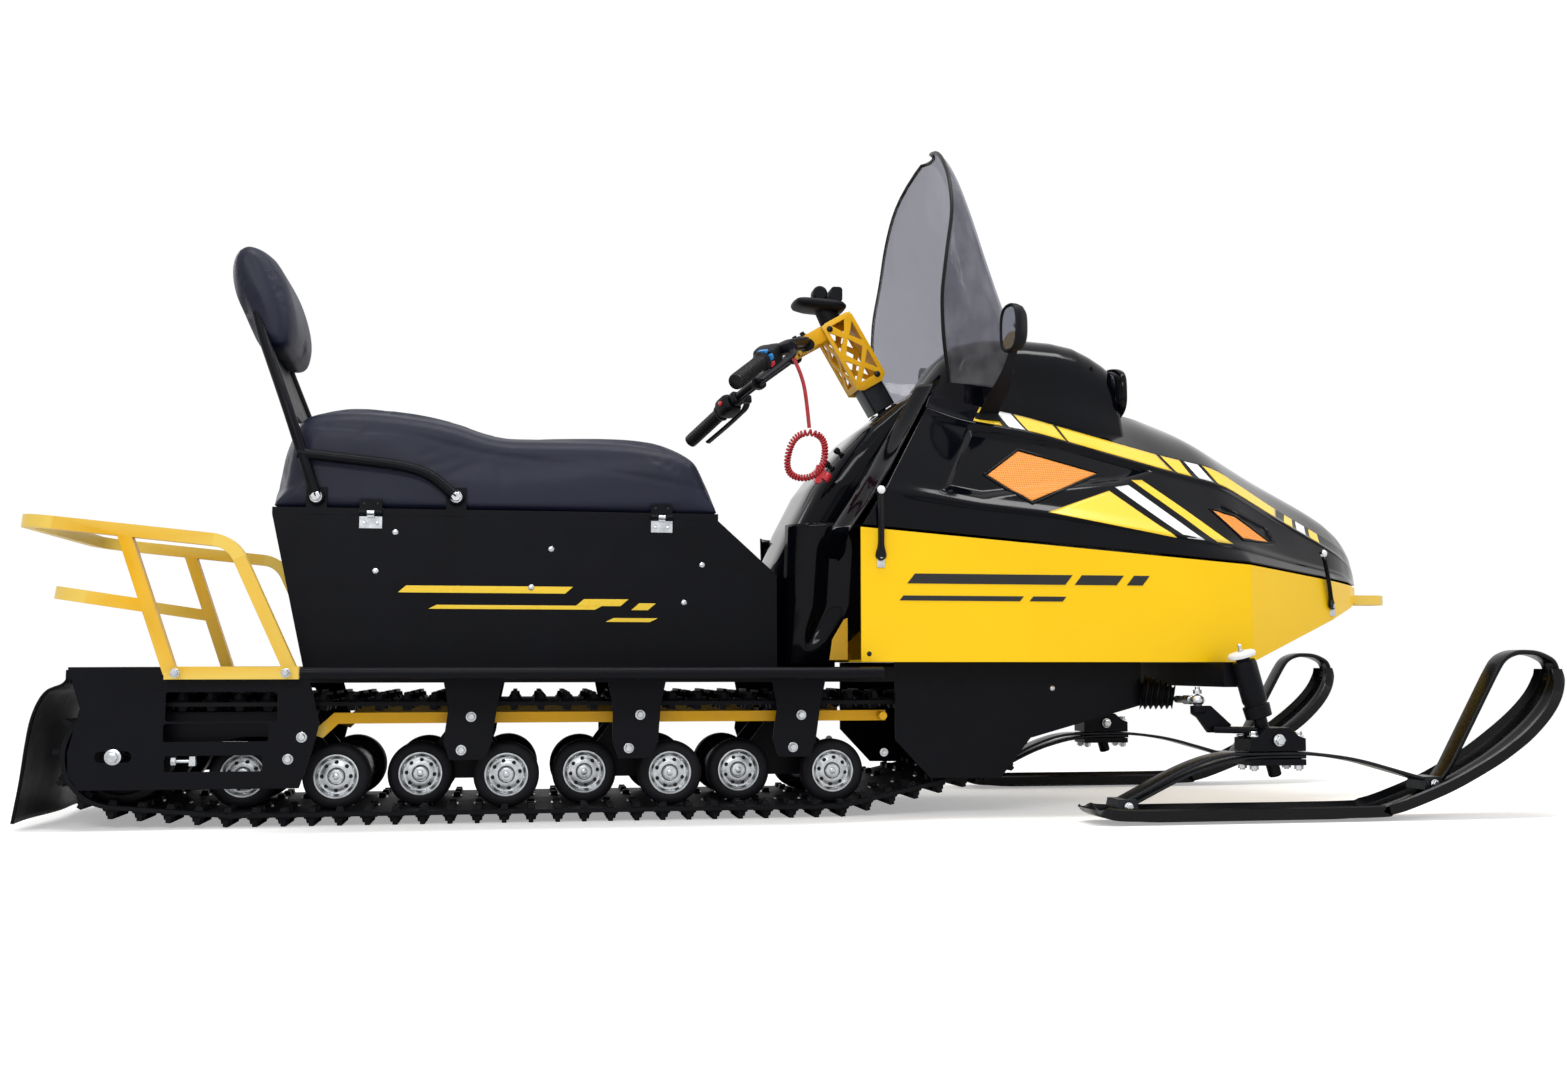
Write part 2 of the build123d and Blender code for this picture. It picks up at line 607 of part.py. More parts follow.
# Hood sections from rear to front. Columns: X, then Y and Z of the crease,
# the band's lower edge and the shoulder, and last the crown's Z
HOOD_TABLE = (
    (50, 352, 668, 240, 905, 195, 960, 975),
    (300, 350, 632, 236, 822, 188, 872, 884),
    (458, 348, 617, 238, 799, 190, 842, 880),
    (760, 345, 572, 235, 723, 195, 765, 884),
    (890, 322, 552, 226, 696, 190, 740, 838),
    (1050, 232, 530, 195, 618, 160, 653, 745),
    (1200, 148, 514, 132, 562, 110, 592, 668),
    (1262, 90, 505, 82, 540, 66, 572, 628),
    (1298, 46, 501, 42, 526, 34, 548, 574),
    (NOSE_X, 30, 499, 27, 515, 20, 528, 540),
)


def hood_section(row, inset, drop, push=0.0):
    """Closed section of the hood for one table row, inset, with a lowered foot."""
    x, crease_y, crease_z, band_y, band_z, shoulder_y, shoulder_z, crown = row
    half, foot = blend(BODY_HALF, x), blend(SEAM_Z, x) + SEAM - drop
    half_points = (
        (-half + inset, foot), (-crease_y + inset, crease_z), (-band_y + inset, band_z - inset / 2),
        (-shoulder_y + inset / 2, shoulder_z - inset), (0, crown - inset),
    )
    return [(x + push, y, z) for y, z in mirrored(half_points)]


with BuildPart() as hood_outer:
    add(faceted([hood_section(row, 0, 0) for row in HOOD_TABLE]))
    split(bisect_by=seam_plane(0), keep=Keep.BOTTOM)

with BuildPart() as hood:
    add(hood_outer.part)
    pushes = [-1.0] + [0.0] * (len(HOOD_TABLE) - 2) + [-COWL_T]
    add(faceted([hood_section(row, COWL_T, 20, push) for row, push in zip(HOOD_TABLE, pushes)]), mode=Mode.SUBTRACT)
hood.part.label = "hood"
export_step(hood.part, "parts/hood.step")

# Headlight pod on the hood: crowned top, sloped instrument face at the rear
POD_HALF = 168.0
POD_SIDE = (
    (210, 860), (257, 928), (323, 1011), (370, 1035), (441, 1038), (489, 1040), (609, 1032), (702, 1001),
    (720, 985), (720, 880), (600, 850), (300, 820),
)
LENS_X = 720.0
with BuildPart() as headlight_pod:
    with BuildSketch(upright(POD_HALF)):
        Polygon(*POD_SIDE, align=None)
    extrude(amount=2 * POD_HALF)
    crown_rim = [
        e for f in headlight_pod.faces().filter_by(lambda f: f.normal_at().Z > 0.5)
        for e in f.edges() if abs(abs(e.center().Y) - POD_HALF) < 1
    ]
    chamfer(crown_rim, 34)
    split(bisect_by=seam_plane(0), keep=Keep.BOTTOM)
    add(hood_outer.part, mode=Mode.SUBTRACT)
headlight_pod.part.label = "headlight_pod"
export_step(headlight_pod.part, "parts/headlight_pod.step")

with BuildPart() as headlight_lens:
    with BuildSketch(across(LENS_X + FIT)) as lens_outline:
        with Locations((0, 938)):
            Rectangle(2 * POD_HALF - 40, 96)
        chamfer(lens_outline.vertices(), 24)
    extrude(amount=26, taper=12)
    add(hood_outer.part, mode=Mode.SUBTRACT)
headlight_lens.part.label = "headlight_lens"
export_step(headlight_lens.part, "parts/headlight_lens.step")

# Windshield: a bent sheet, lofted through arcs. Columns: Z, X of the rear edge,
# half width at the edge, X of the middle
SHIELD_TABLE = (
    (880, 300, 196, 560), (1070, 236, 318, 478), (1216, 262, 333, 415), (1380, 262, 254, 350), (1462, 292, 70, 316),
)
SHIELD_T = 5.0
SHIELD_STEPS = 12


def shield_arc(edge_x, half, middle_x):
    """Points on the arc through both edges and the middle, right to left."""
    rise = middle_x - edge_x
    radius = (half * half + rise * rise) / (2 * rise)
    sweep_angle = math.atan2(half, radius - rise)
    angles = [sweep_angle * (2 * i / SHIELD_STEPS - 1) for i in range(SHIELD_STEPS + 1)]
    return [(middle_x - radius + radius * math.cos(a), radius * math.sin(a)) for a in angles]


with BuildPart() as windshield:
    rings = []
    for z, edge_x, half, middle_x in SHIELD_TABLE:
        front = shield_arc(edge_x, half, middle_x)
        back = shield_arc(edge_x, half - SHIELD_T, middle_x - SHIELD_T)
        rings.append([(x, y, z) for x, y in (*front, *reversed(back))])
    add(faceted(rings))
    add(hood_outer.part, mode=Mode.SUBTRACT)
    add(headlight_pod.part, mode=Mode.SUBTRACT)
windshield.part.label = "windshield"
export_step(windshield.part, "parts/windshield.step")

# Mirrors: a rounded housing on a stalk that stands on the hood's shoulder
MIRROR_AT = (392.0, 352.0, 996.0)
MIRROR_DEEP = 36.0
with BuildPart() as mirrors:
    with BuildSketch(across(MIRROR_AT[0] - MIRROR_DEEP / 2)) as mirror_outline:
        with Locations((-MIRROR_AT[1], MIRROR_AT[2])):
            Rectangle(76, 100)
        chamfer(mirror_outline.vertices(), 24)
    extrude(amount=MIRROR_DEEP, taper=12)
    with BuildLine() as stalk:
        Polyline((MIRROR_AT[0] + 6, -MIRROR_AT[1] + 10, MIRROR_AT[2] - 24), (352, -226, 812))
    with BuildSketch(Plane(origin=stalk.line @ 0, z_dir=stalk.line % 0)):
        Rectangle(16, 26)
    sweep(path=stalk.line)
    mirror(about=Plane.XZ)
    add(hood_outer.part, mode=Mode.SUBTRACT)
mirrors.part.label = "mirrors"
export_step(mirrors.part, "parts/mirrors.step")

with BuildPart() as mirror_glasses:
    with BuildSketch(across(MIRROR_AT[0] - MIRROR_DEEP / 2)) as glass_outline:
        with Locations((-MIRROR_AT[1], MIRROR_AT[2])):
            Rectangle(68, 92)
        chamfer(glass_outline.vertices(), 22)
    extrude(amount=-2)
    mirror(about=Plane.XZ)
mirror_glasses.part.label = "mirror_glasses"
export_step(mirror_glasses.part, "parts/mirror_glasses.step")

# Rubber latches: straps from pegs on the hood down over the seam to the cowl
# Columns: X, height of the upper end, height of the lower end
LATCHES = ((96.0, 664.0, 515.0), (1150.0, 546.0, 440.0))
STRAP_T = 9.0


def side_tangent(x):
    """Sketch plane on the cowl's right wall at x, with its normal outwards."""
    slope = (blend(BODY_HALF, x + 5) - blend(BODY_HALF, x - 5)) / 10
    run = math.hypot(1, slope)
    return Plane(origin=(x, -blend(BODY_HALF, x), 0), x_dir=(1 / run, -slope / run, 0), z_dir=(-slope / run, -1 / run, 0))


with BuildPart() as hood_latches:
    for x, high, low in LATCHES:
        with BuildSketch(side_tangent(x).offset(FIT)):
            with Locations((0, (high + low) / 2)):
                RegularPolygon(12, 8)
                Rectangle(22, high - low)
        extrude(amount=STRAP_T)
        with BuildSketch(side_tangent(x).offset(FIT)):
            with Locations((0, high - 12)):
                RegularPolygon(7, 8)
        extrude(amount=-40)
    mirror(about=Plane.XZ)
    add(hood_outer.part, mode=Mode.SUBTRACT)
hood_latches.part.label = "hood_latches"
export_step(hood_latches.part, "parts/hood_latches.step")

# Console: the sloped shield between the rider's knees, open at front and foot
CONSOLE_HALF = 205.0
CONSOLE_T = 4.0
DASH_Z = 928.0


def seam_x(z, gap):
    """X of the hood's rear edge at height z, moved back by a gap square to it."""
    return SEAM_REAR[0] + (z - SEAM_REAR[1] - gap * math.hypot(1, SEAM_SLOPE)) / SEAM_SLOPE


CONSOLE_SIDE = (
    (-80, DECK_Z), (-80, 520), (-5, 688), (48, 752), (102, 810), (182, 869), (seam_x(DASH_Z, SEAM), DASH_Z),
    (seam_x(SEAM_REAR[1], SEAM), SEAM_REAR[1]), (seam_x(SEAM_REAR[1], SEAM), DECK_Z),
)
with BuildPart() as console:
    with BuildSketch(upright(CONSOLE_HALF)):
        Polygon(*CONSOLE_SIDE, align=None)
    extrude(amount=2 * CONSOLE_HALF)
    open_faces = [f for f in console.faces() if f.normal_at().X > 0.5 or f.normal_at().Z < -0.5]
    offset(amount=-CONSOLE_T, openings=open_faces, kind=Kind.INTERSECTION)
    with BuildSketch(column_plane(-60)):
        Circle(COLUMN_R + BUSH_T)
    extrude(amount=80)
    with BuildSketch(column_plane(-90)):
        Circle(COLUMN_R + RUNNING)
    extrude(amount=140, mode=Mode.SUBTRACT)
console.part.label = "console"
export_step(console.part, "parts/console.step")

# Leg shields: sloped sheets from the console out to the hood's rear edge
with BuildPart() as leg_shields:
    with BuildSketch(seam_plane(SEAM)):
        Polygon((-CONSOLE_HALF - FIT, -60), (-330, -30), (-345, 90), (-300, 250), (-CONSOLE_HALF - FIT, 330), align=None)
    extrude(amount=COWL_T)
    mirror(about=Plane.XZ)
leg_shields.part.label = "leg_shields"
export_step(leg_shields.part, "parts/leg_shields.step")

# Engine: one plain block on the belly
with BuildPart() as engine_block:
    with BuildSketch(Plane.XY.offset(COWL_FOOT + COWL_T)):
        with Locations((590, 0)):
            Rectangle(330, 420)
    extrude(amount=250)
engine_block.part.label = "engine_block"
export_step(engine_block.part, "parts/engine_block.step")

# Front tow loop: a folded plate under the nose
with BuildPart() as tow_bumper:
    with BuildSketch(Plane.XY.offset(448)):
        with BuildLine():
            Polyline(
                (NOSE_X + FIT, -33), (1372, -33), (1391, -14), (1391, 14), (1372, 33),
                (NOSE_X + FIT, 33), close=True,
            )
        make_face()
        with Locations((1364, 0)):
            Circle(12, mode=Mode.SUBTRACT)
    extrude(amount=22)
tow_bumper.part.label = "tow_bumper"
export_step(tow_bumper.part, "parts/tow_bumper.step")

# Front beam: a cross tube in the cowl's foot with a spindle housing at each end
BEAM_HIGH = 50.0
BEAM_Z = COWL_FOOT - FIT - BEAM_HIGH / 2
HOUSING_LONG = 110.0
with BuildPart() as front_beam:
    with BuildSketch(king_plane(-8 - HOUSING_LONG)):
        Circle(KING_R)
        Circle(13 + RUNNING, mode=Mode.SUBTRACT)
    extrude(amount=HOUSING_LONG)
    with BuildSketch(upright(0)):
        with Locations((806, BEAM_Z)):
            Rectangle(46, BEAM_HIGH)
    extrude(amount=STANCE - KING_R + 8)
    with BuildSketch(king_plane(-9 - HOUSING_LONG)):
        Circle(13 + RUNNING)
    extrude(amount=HOUSING_LONG + 4, mode=Mode.SUBTRACT)
    mirror(about=Plane.XZ)
front_beam.part.label = "front_beam"
export_step(front_beam.part, "parts/front_beam.step")

# Spindles, leaf springs, skis and tie rods, one set a side
SKI_SIDE = (
    (480, 27), (520, 8), (1050, 8), (1150, 26), (1262, 58), (1377, 122), (1471, 190), (1532, 262),
    (1522, 318), (1436, 334), (1397, 322), (1232, 86), (1146, 50), (1044, 34), (600, 30), (486, 30),
)
SKI_WINDOW = ((1268, 98), (1362, 142), (1452, 206), (1506, 266), (1498, 300), (1440, 312), (1410, 304))
ARM_AT = (742.0, 226.0)   # top of the steering arm's end: X and Z
ARM_Y = 400.0
ROD_IN = 300.0
SADDLE = (806.0, 935.0)
for name, side in (("right", -1), ("left", 1)):
    foot = side * STANCE
    with BuildPart() as ski:
        with BuildSketch(upright(foot + SKI_HALF)):
            Polygon(*SKI_SIDE, align=None)
            Polygon(*SKI_WINDOW, align=None, mode=Mode.SUBTRACT)
        extrude(amount=2 * SKI_HALF)
        with BuildSketch(upright(foot + KEEL_HALF)):
            Polygon((560, 8), (1080, 12), (1060, 0), (580, 0), align=None)
        extrude(amount=2 * KEEL_HALF)
    ski.part.label = f"ski_{name}"
    export_step(ski.part, f"parts/ski_{name}.step")

    with BuildPart() as spring:
        with BuildSketch(upright(foot + 30)):
            Polygon(
                (535, 30.5), (549, 34), (684, 112), (806, 140), (935, 140), (1043, 126), (1200, 84),
                (1198, 76), (1040, 118), (935, 131), (935, 118), (806, 118), (690, 92), (560, 30.5), align=None,
            )
        extrude(amount=60)
    spring.part.label = f"leaf_spring_{name}"
    export_step(spring.part, f"parts/leaf_spring_{name}.step")

    with BuildPart() as spindle:
        with BuildSketch(king_plane(-170, foot)):
            Circle(13)
        extrude(amount=170)
        with BuildSketch(king_plane(-2, foot)):
            Circle(24)
        extrude(amount=10)
        with BuildSketch(king_plane(-150, foot)):
            RegularPolygon(27, 12)
        extrude(amount=24)
        with BuildSketch(upright(foot + 38)):
            Polygon((806, 140 + FIT), (935, 140 + FIT), (935, 158), (885, 180), (830, 180), (806, 158), align=None)
        extrude(amount=76)
        with BuildSketch(Plane.XY.offset(172)):
            Polygon(
                (835, foot - side * 20), (766, side * (ARM_Y - 7)), (766, side * (ARM_Y + 7)),
                (880, foot + side * 20), align=None,
            )
        extrude(amount=12)
        with BuildSketch(upright(side * ARM_Y + 7)):
            Polygon(
                (766, 172), (800, 172), (800, 184), (ARM_AT[0] + 20, ARM_AT[1]), (ARM_AT[0] - 14, ARM_AT[1]),
                (ARM_AT[0] - 14, ARM_AT[1] - 14), align=None,
            )
        extrude(amount=14)
    spindle.part.label = f"spindle_{name}"
    export_step(spindle.part, f"parts/spindle_{name}.step")

    with BuildPart() as tie_rod:
        with BuildSketch(Plane.XY.offset(ARM_AT[1] + FIT)):
            with Locations((ARM_AT[0], side * ARM_Y)):
                Circle(13)
        extrude(amount=22)
        with BuildSketch(upright(side * (ARM_Y - 5))):
            with Locations((ARM_AT[0], ARM_AT[1] + 11)):
                RegularPolygon(ROD_R, 10)
        extrude(amount=side * (ARM_Y - ROD_IN))
    tie_rod.part.label = f"tie_rod_{name}"
    export_step(tie_rod.part, f"parts/tie_rod_{name}.step")

# Steering column, riser, handlebar, grips, switches, pod and tether
with BuildPart() as steering_column:
    with BuildSketch(column_plane(-110)):
        Circle(COLUMN_R)
    extrude(amount=150)
    with BuildSketch(column_plane(22)):
        Rectangle(64, 60)
    extrude(amount=18)
steering_column.part.label = "steering_column"
export_step(steering_column.part, "parts/steering_column.step")

RISER_FOOT, RISER_TOP = 40.0, 205.0
RISER_WIDE, RISER_DEEP, RISER_WALL = 96.0, 70.0, 5.0
CLAMP_HALF = 32.0
BAR_BORE = (BAR_R + FIT) / math.cos(math.pi / 12)  # corner radius of the holes round the bar
BAR_S, BAR_BACK = 177.0, 86.0  # the bar's middle: up the column's axis, and behind it
tilt = math.radians(COLUMN_TILT)
BAR_MID = (
    column_point(BAR_S)[0] - BAR_BACK * math.cos(tilt), column_point(BAR_S)[1] - BAR_BACK * math.sin(tilt),
)
with BuildPart() as riser:
    with BuildSketch(column_plane(RISER_FOOT)):
        Rectangle(RISER_WIDE, RISER_DEEP)
    extrude(amount=RISER_TOP - RISER_FOOT)
    with BuildSketch(column_plane(RISER_FOOT + 10)):
        Rectangle(RISER_WIDE - 2 * RISER_WALL, RISER_DEEP - 2 * RISER_WALL)
    extrude(amount=RISER_TOP - RISER_FOOT - 20, mode=Mode.SUBTRACT)
    with BuildSketch(column_plane(BAR_S - BAR_R - 7)):
        with Locations((0, (BAR_BACK + BAR_R + 6 + RISER_DEEP / 2) / 2)):
            Rectangle(2 * CLAMP_HALF, BAR_BACK + BAR_R + 6 - RISER_DEEP / 2)
    extrude(amount=2 * (BAR_R + 7))
    with BuildSketch(upright(RISER_WIDE)):
        with Locations(BAR_MID):
            RegularPolygon(BAR_BORE, 12)
    extrude(amount=2 * RISER_WIDE, mode=Mode.SUBTRACT)
riser.part.label = "riser"
export_step(riser.part, "parts/riser.step")

BAR_END = (-200.0, 859.0)
BAR_ROUTE = (
    (BAR_MID[0], 0, BAR_MID[1]), (BAR_MID[0], -64, BAR_MID[1]), (-83, -250, 965), (BAR_END[0], -GRIP_OUT, BAR_END[1]),
)
with BuildPart() as handlebar:
    with BuildLine() as bar_route:
        FilletPolyline(*BAR_ROUTE, radius=50)
    with BuildSketch(Plane(origin=bar_route.line @ 0, z_dir=bar_route.line % 0)):
        RegularPolygon(BAR_R, 12)
    sweep(path=bar_route.line)
    mirror(about=Plane.XZ)
handlebar.part.label = "handlebar"
export_step(handlebar.part, "parts/handlebar.step")

# Grips: rubber sleeves on the bar's ends, on the line of the last run
bar_out = Vector(*BAR_ROUTE[-1]) - Vector(*BAR_ROUTE[-2])
bar_out = bar_out.normalized()
GRIP_LONG, GRIP_WALL = 118.0, 5.0
with BuildPart() as grips:
    start = Vector(*BAR_ROUTE[-1]) - bar_out * GRIP_LONG
    with BuildSketch(Plane(origin=start, z_dir=bar_out)):
        RegularPolygon(BAR_R + GRIP_WALL, 12)
    extrude(amount=GRIP_LONG + 6)
    with BuildSketch(Plane(origin=start - bar_out, z_dir=bar_out)):
        RegularPolygon(BAR_BORE, 12)
    extrude(amount=GRIP_LONG + 1, mode=Mode.SUBTRACT)
    mirror(about=Plane.XZ)
grips.part.label = "grips"
export_step(grips.part, "parts/grips.step")

# Switch housings beside the grips, with the brake lever on the left one's side
HOUSING_WIDE = 46.0
with BuildPart() as switch_housings:
    start = Vector(*BAR_ROUTE[-1]) - bar_out * (GRIP_LONG + HOUSING_WIDE + FIT)
    with BuildSketch(Plane(origin=start, x_dir=(1, 0, 0), z_dir=bar_out)) as switch_outline:
        Rectangle(48, 44)
        chamfer(switch_outline.vertices(), 8)
        RegularPolygon(BAR_BORE, 12, mode=Mode.SUBTRACT)
    extrude(amount=HOUSING_WIDE)
    mirror(about=Plane.XZ)
switch_housings.part.label = "switch_housings"
export_step(switch_housings.part, "parts/switch_housings.step")

# Pod on top of the riser: a flat housing that leans back with the column
with BuildPart() as bar_pod:
    with BuildSketch(column_plane(RISER_TOP + FIT)):
        Rectangle(50, 40)
    extrude(amount=24)
    with BuildSketch(column_plane(RISER_TOP + 24)) as pod_outline:
        Rectangle(120, 96)
        chamfer(pod_outline.vertices(), 14)
    extrude(amount=18)
bar_pod.part.label = "bar_pod"
export_step(bar_pod.part, "parts/bar_pod.step")

# Stop-switch tether: a strap looped on the bar, a curly loop and its clip
STRAP_R = 4.0
TETHER_Y = -222.0
TETHER_ROUTE = (
    (-58, -196, 966), (-46, -211, 935), (-34, TETHER_Y, 896), (-27, TETHER_Y, 852), (-22, TETHER_Y, 800),
)
with BuildPart() as tether_strap:
    with BuildLine() as strap_line:
        FilletPolyline(*TETHER_ROUTE, radius=70)
    with BuildSketch(Plane(origin=strap_line.line @ 0, z_dir=strap_line.line % 0)):
        RegularPolygon(STRAP_R, 8)
    sweep(path=strap_line.line)
tether_strap.part.label = "tether_strap"
export_step(tether_strap.part, "parts/tether_strap.step")

LOOP_R, LOOP_CORD = 42.0, 7.0
LOOP_AT = (TETHER_ROUTE[-1][0], TETHER_ROUTE[-1][2] - FIT - LOOP_R - LOOP_CORD)
with BuildPart() as tether_loop:
    with BuildSketch(Plane((LOOP_AT[0], TETHER_Y + LOOP_CORD, LOOP_AT[1]), x_dir=(1, 0, 0), z_dir=(0, -1, 0))):
        RegularPolygon(LOOP_R + LOOP_CORD, 20)
        RegularPolygon(LOOP_R - LOOP_CORD, 20, mode=Mode.SUBTRACT)
    extrude(amount=2 * LOOP_CORD)
tether_loop.part.label = "tether_loop"
export_step(tether_loop.part, "parts/tether_loop.step")

with BuildPart() as tether_clip:
    with BuildSketch(Plane.XY.offset(LOOP_AT[1] - LOOP_R - LOOP_CORD - FIT - 26)):
        with Locations((LOOP_AT[0] + 6, TETHER_Y)):
            Rectangle(20, 12)
    extrude(amount=26)
tether_clip.part.label = "tether_clip"
export_step(tether_clip.part, "parts/tether_clip.step")
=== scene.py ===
"""Looks of a utility snowmobile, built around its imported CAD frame."""
import math

import bmesh
import bpy
import numpy as np
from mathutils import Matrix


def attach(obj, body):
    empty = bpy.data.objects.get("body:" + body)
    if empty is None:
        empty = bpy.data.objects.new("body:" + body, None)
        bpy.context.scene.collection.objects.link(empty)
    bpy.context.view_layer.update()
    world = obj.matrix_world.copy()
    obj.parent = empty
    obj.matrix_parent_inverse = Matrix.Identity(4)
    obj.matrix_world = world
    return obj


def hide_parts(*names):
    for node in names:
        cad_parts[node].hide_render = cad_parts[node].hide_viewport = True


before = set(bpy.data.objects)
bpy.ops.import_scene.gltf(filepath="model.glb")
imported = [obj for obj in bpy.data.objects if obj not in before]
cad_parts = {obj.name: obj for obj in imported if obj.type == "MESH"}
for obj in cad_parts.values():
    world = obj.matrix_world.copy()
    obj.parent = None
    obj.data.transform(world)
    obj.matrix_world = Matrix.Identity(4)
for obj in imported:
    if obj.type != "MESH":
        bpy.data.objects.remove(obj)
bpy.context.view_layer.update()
MM = 0.001

# Values shared with the CAD source, in millimetres
TUNNEL_HALF, SHEET = 275.0, 4.0
WHEEL_R, WHEEL_Z = 65.0, 91.0
WHEEL_FACES = (205.0, 150.0)
BOGIES = ((-959.0, -1143.0), (-632.0, -802.0), (-306.0, -476.0), (30.0, -158.0))
IDLER, SPROCKET = (-1352.0, 137.0, 92.0), (345.0, 162.0, 66.0)
LUG, BELT, TRACK_HALF = 18.0, 8.0, 250.0
BOX_HALF, SEAT_HALF, COWL_HALF = 190.0, 185.0, 360.0
COLUMN_AT, COLUMN_TILT = (168.0, 908.0), math.radians(30.2)
STANCE, KING_TOP, KING_TILT = 450.0, (816.0, 324.0), math.radians(15.3)


def linear(code, alpha=1.0):
    """Hex sRGB to linear: c / 12.92 up to 0.04045, else ((c + 0.055) / 1.055) ** 2.4."""
    channels = np.array([int(code[i:i + 2], 16) for i in (0, 2, 4)]) / 255
    channels = np.where(channels <= 0.04045, channels / 12.92, ((channels + 0.055) / 1.055) ** 2.4)
    return (*channels.tolist(), alpha)


def put(tree, kind, links=None, **settings):
    """Adds one node; links gives each input a socket to join to or a plain value."""
    made = tree.nodes.new("ShaderNode" + kind)
    for key, value in settings.items():
        setattr(made, key, value)
    for key, value in (links or {}).items():
        if isinstance(value, bpy.types.NodeSocket):
            tree.links.new(value, made.inputs[key])
        else:
            made.inputs[key].default_value = value
    return made


def new_material(name, stock=False):
    """Material and its node tree, which is empty unless the stock shader is kept."""
    material = bpy.data.materials.new(name)
    material.use_nodes = True
    if not stock:
        material.node_tree.nodes.clear()
    return material, material.node_tree


def finish(name, colour, rough, metallic=0.0, tone=0.12, tone_mm=120.0, smear=0.06, smear_mm=60.0,
           grain_mm=0.0, grain_depth=0.0, edge_mm=1.0, coat=0.0, specular=0.5, edge_highlight=None):
    """Surface on Object coordinates: colour mixed with its darker tone by broad noise,
    roughness shifted by a second noise, bump from a grain of the stated size, and a
    rounded edge from the Bevel node. The edge colour, where given, is a painted
    highlight: a paler colour mixed in on sharp convex edges, found by Pointiness."""
    material, tree = new_material(name)
    place = put(tree, "TexCoord").outputs["Object"]
    broad = put(tree, "TexNoise", {"Vector": place, "Scale": 1000 / tone_mm, "Detail": 4.0})
    shift = put(tree, "MapRange", {"Value": broad.outputs[0], "From Min": 0.3, "From Max": 0.7,
                                             "To Min": 1 - tone, "To Max": 1 + tone * 0.5})
    shade = put(tree, "VectorMath", {0: linear(colour)[:3], 1: (1, 1, 1)}, operation="MULTIPLY")
    tree.links.new(shift.outputs[0], shade.inputs[1])
    paint = shade.outputs[0]
    patches = put(tree, "TexNoise", {"Vector": place, "Scale": 1000 / smear_mm, "Detail": 6.0,
                                               "Roughness": 0.65})
    gloss = put(tree, "MapRange", {"Value": patches.outputs[0], "From Min": 0.3, "From Max": 0.7,
                                             "To Min": max(rough - smear, 0.02), "To Max": rough
                                             + smear})
    normal = put(tree, "Bevel", {"Radius": edge_mm * MM}, samples=4).outputs[0]
    # Painted highlight: a paler colour mixed in on sharp convex edges
    if edge_highlight:
        sharp = put(tree, "NewGeometry").outputs["Pointiness"]
        highlight_share = put(tree, "MapRange", {"Value": sharp, "From Min": 0.54, "From Max": 0.62})
        mixed = put(tree, "Mix", {"Factor": highlight_share.outputs[0], 4: paint, 5: linear(edge_highlight)[:3]},
                    data_type="VECTOR")
        paint = mixed.outputs[1]
    if grain_depth:
        grit = put(tree, "TexNoise", {"Vector": place, "Scale": 1000 / grain_mm, "Detail": 2.0})
        normal = put(tree, "Bump", {"Height": grit.outputs[0], "Distance": grain_depth * MM,
                                              "Strength": 1.0, "Normal": normal}).outputs[0]
    shader = put(tree, "BsdfPrincipled", {
        "Base Color": paint, "Roughness": gloss.outputs[0], "Metallic": metallic, "Normal": normal,
        "Coat Weight": coat, "Coat Roughness": 0.08, "Specular IOR Level": specular})
    put(tree, "OutputMaterial", {"Surface": shader.outputs[0]})
    return material


# Powder coat: sprayed and baked polyester, with a fine orange-peel skin
black_coat = finish("black_powder_coat", "090a10", 0.4, grain_mm=1.6, grain_depth=0.05, tone=0.2,
                    specular=0.1)
# The yellow coat has a painted highlight: paler yellow on its sharp edges
yellow_coat = finish("yellow_powder_coat", "e2a800", 0.38, grain_mm=1.6, grain_depth=0.05,
                     edge_highlight="e9c65a",
                     specular=0.3)
# Body panels: aluminium sheet with a smooth yellow film, semi-gloss
yellow_panel = finish("yellow_panel_film", "fbca00", 0.36, tone=0.05, tone_mm=400, smear=0.05,
                      coat=0.06,
                      specular=0.3)
# Hood: vacuum-formed ABS with a gloss cap layer
gloss_black = finish("gloss_black_abs", "06070d", 0.09, tone=0.2, smear=0.04, smear_mm=180,
                     specular=0.13)
# Moulded parts: grained black polypropylene and glass-filled nylon
grained_black = finish("grained_black_nylon", "0b0c11", 0.5, grain_mm=1.2, grain_depth=0.12, tone=0.2,
                       specular=0.14)
ski_black = finish("polyethylene_black", "08090c", 0.24, smear=0.05, smear_mm=30, grain_mm=4.0,
                   grain_depth=0.03,
                   tone=0.15, tone_mm=50, specular=0.18)
# Rubbers: moulded tyres with dust in the surface, and the belt's harder compound
tyre_rubber = finish("moulded_tyre_rubber", "18181d", 0.6, grain_mm=2.5, grain_depth=0.15, tone=0.3,
                     tone_mm=30, specular=0.15)
track_rubber = finish("track_belt_rubber", "0e0f13", 0.6, grain_mm=3.0, grain_depth=0.2, tone=0.3,
                      tone_mm=40, specular=0.12)
strap_rubber = finish("latch_strap_rubber", "09090c", 0.45, grain_mm=1.5, grain_depth=0.08,
                      specular=0.2)
flap_rubber = finish("flap_sheet_rubber", "060609", 0.42, smear=0.08, smear_mm=90, grain_mm=5.0,
                     grain_depth=0.1, specular=0.1)
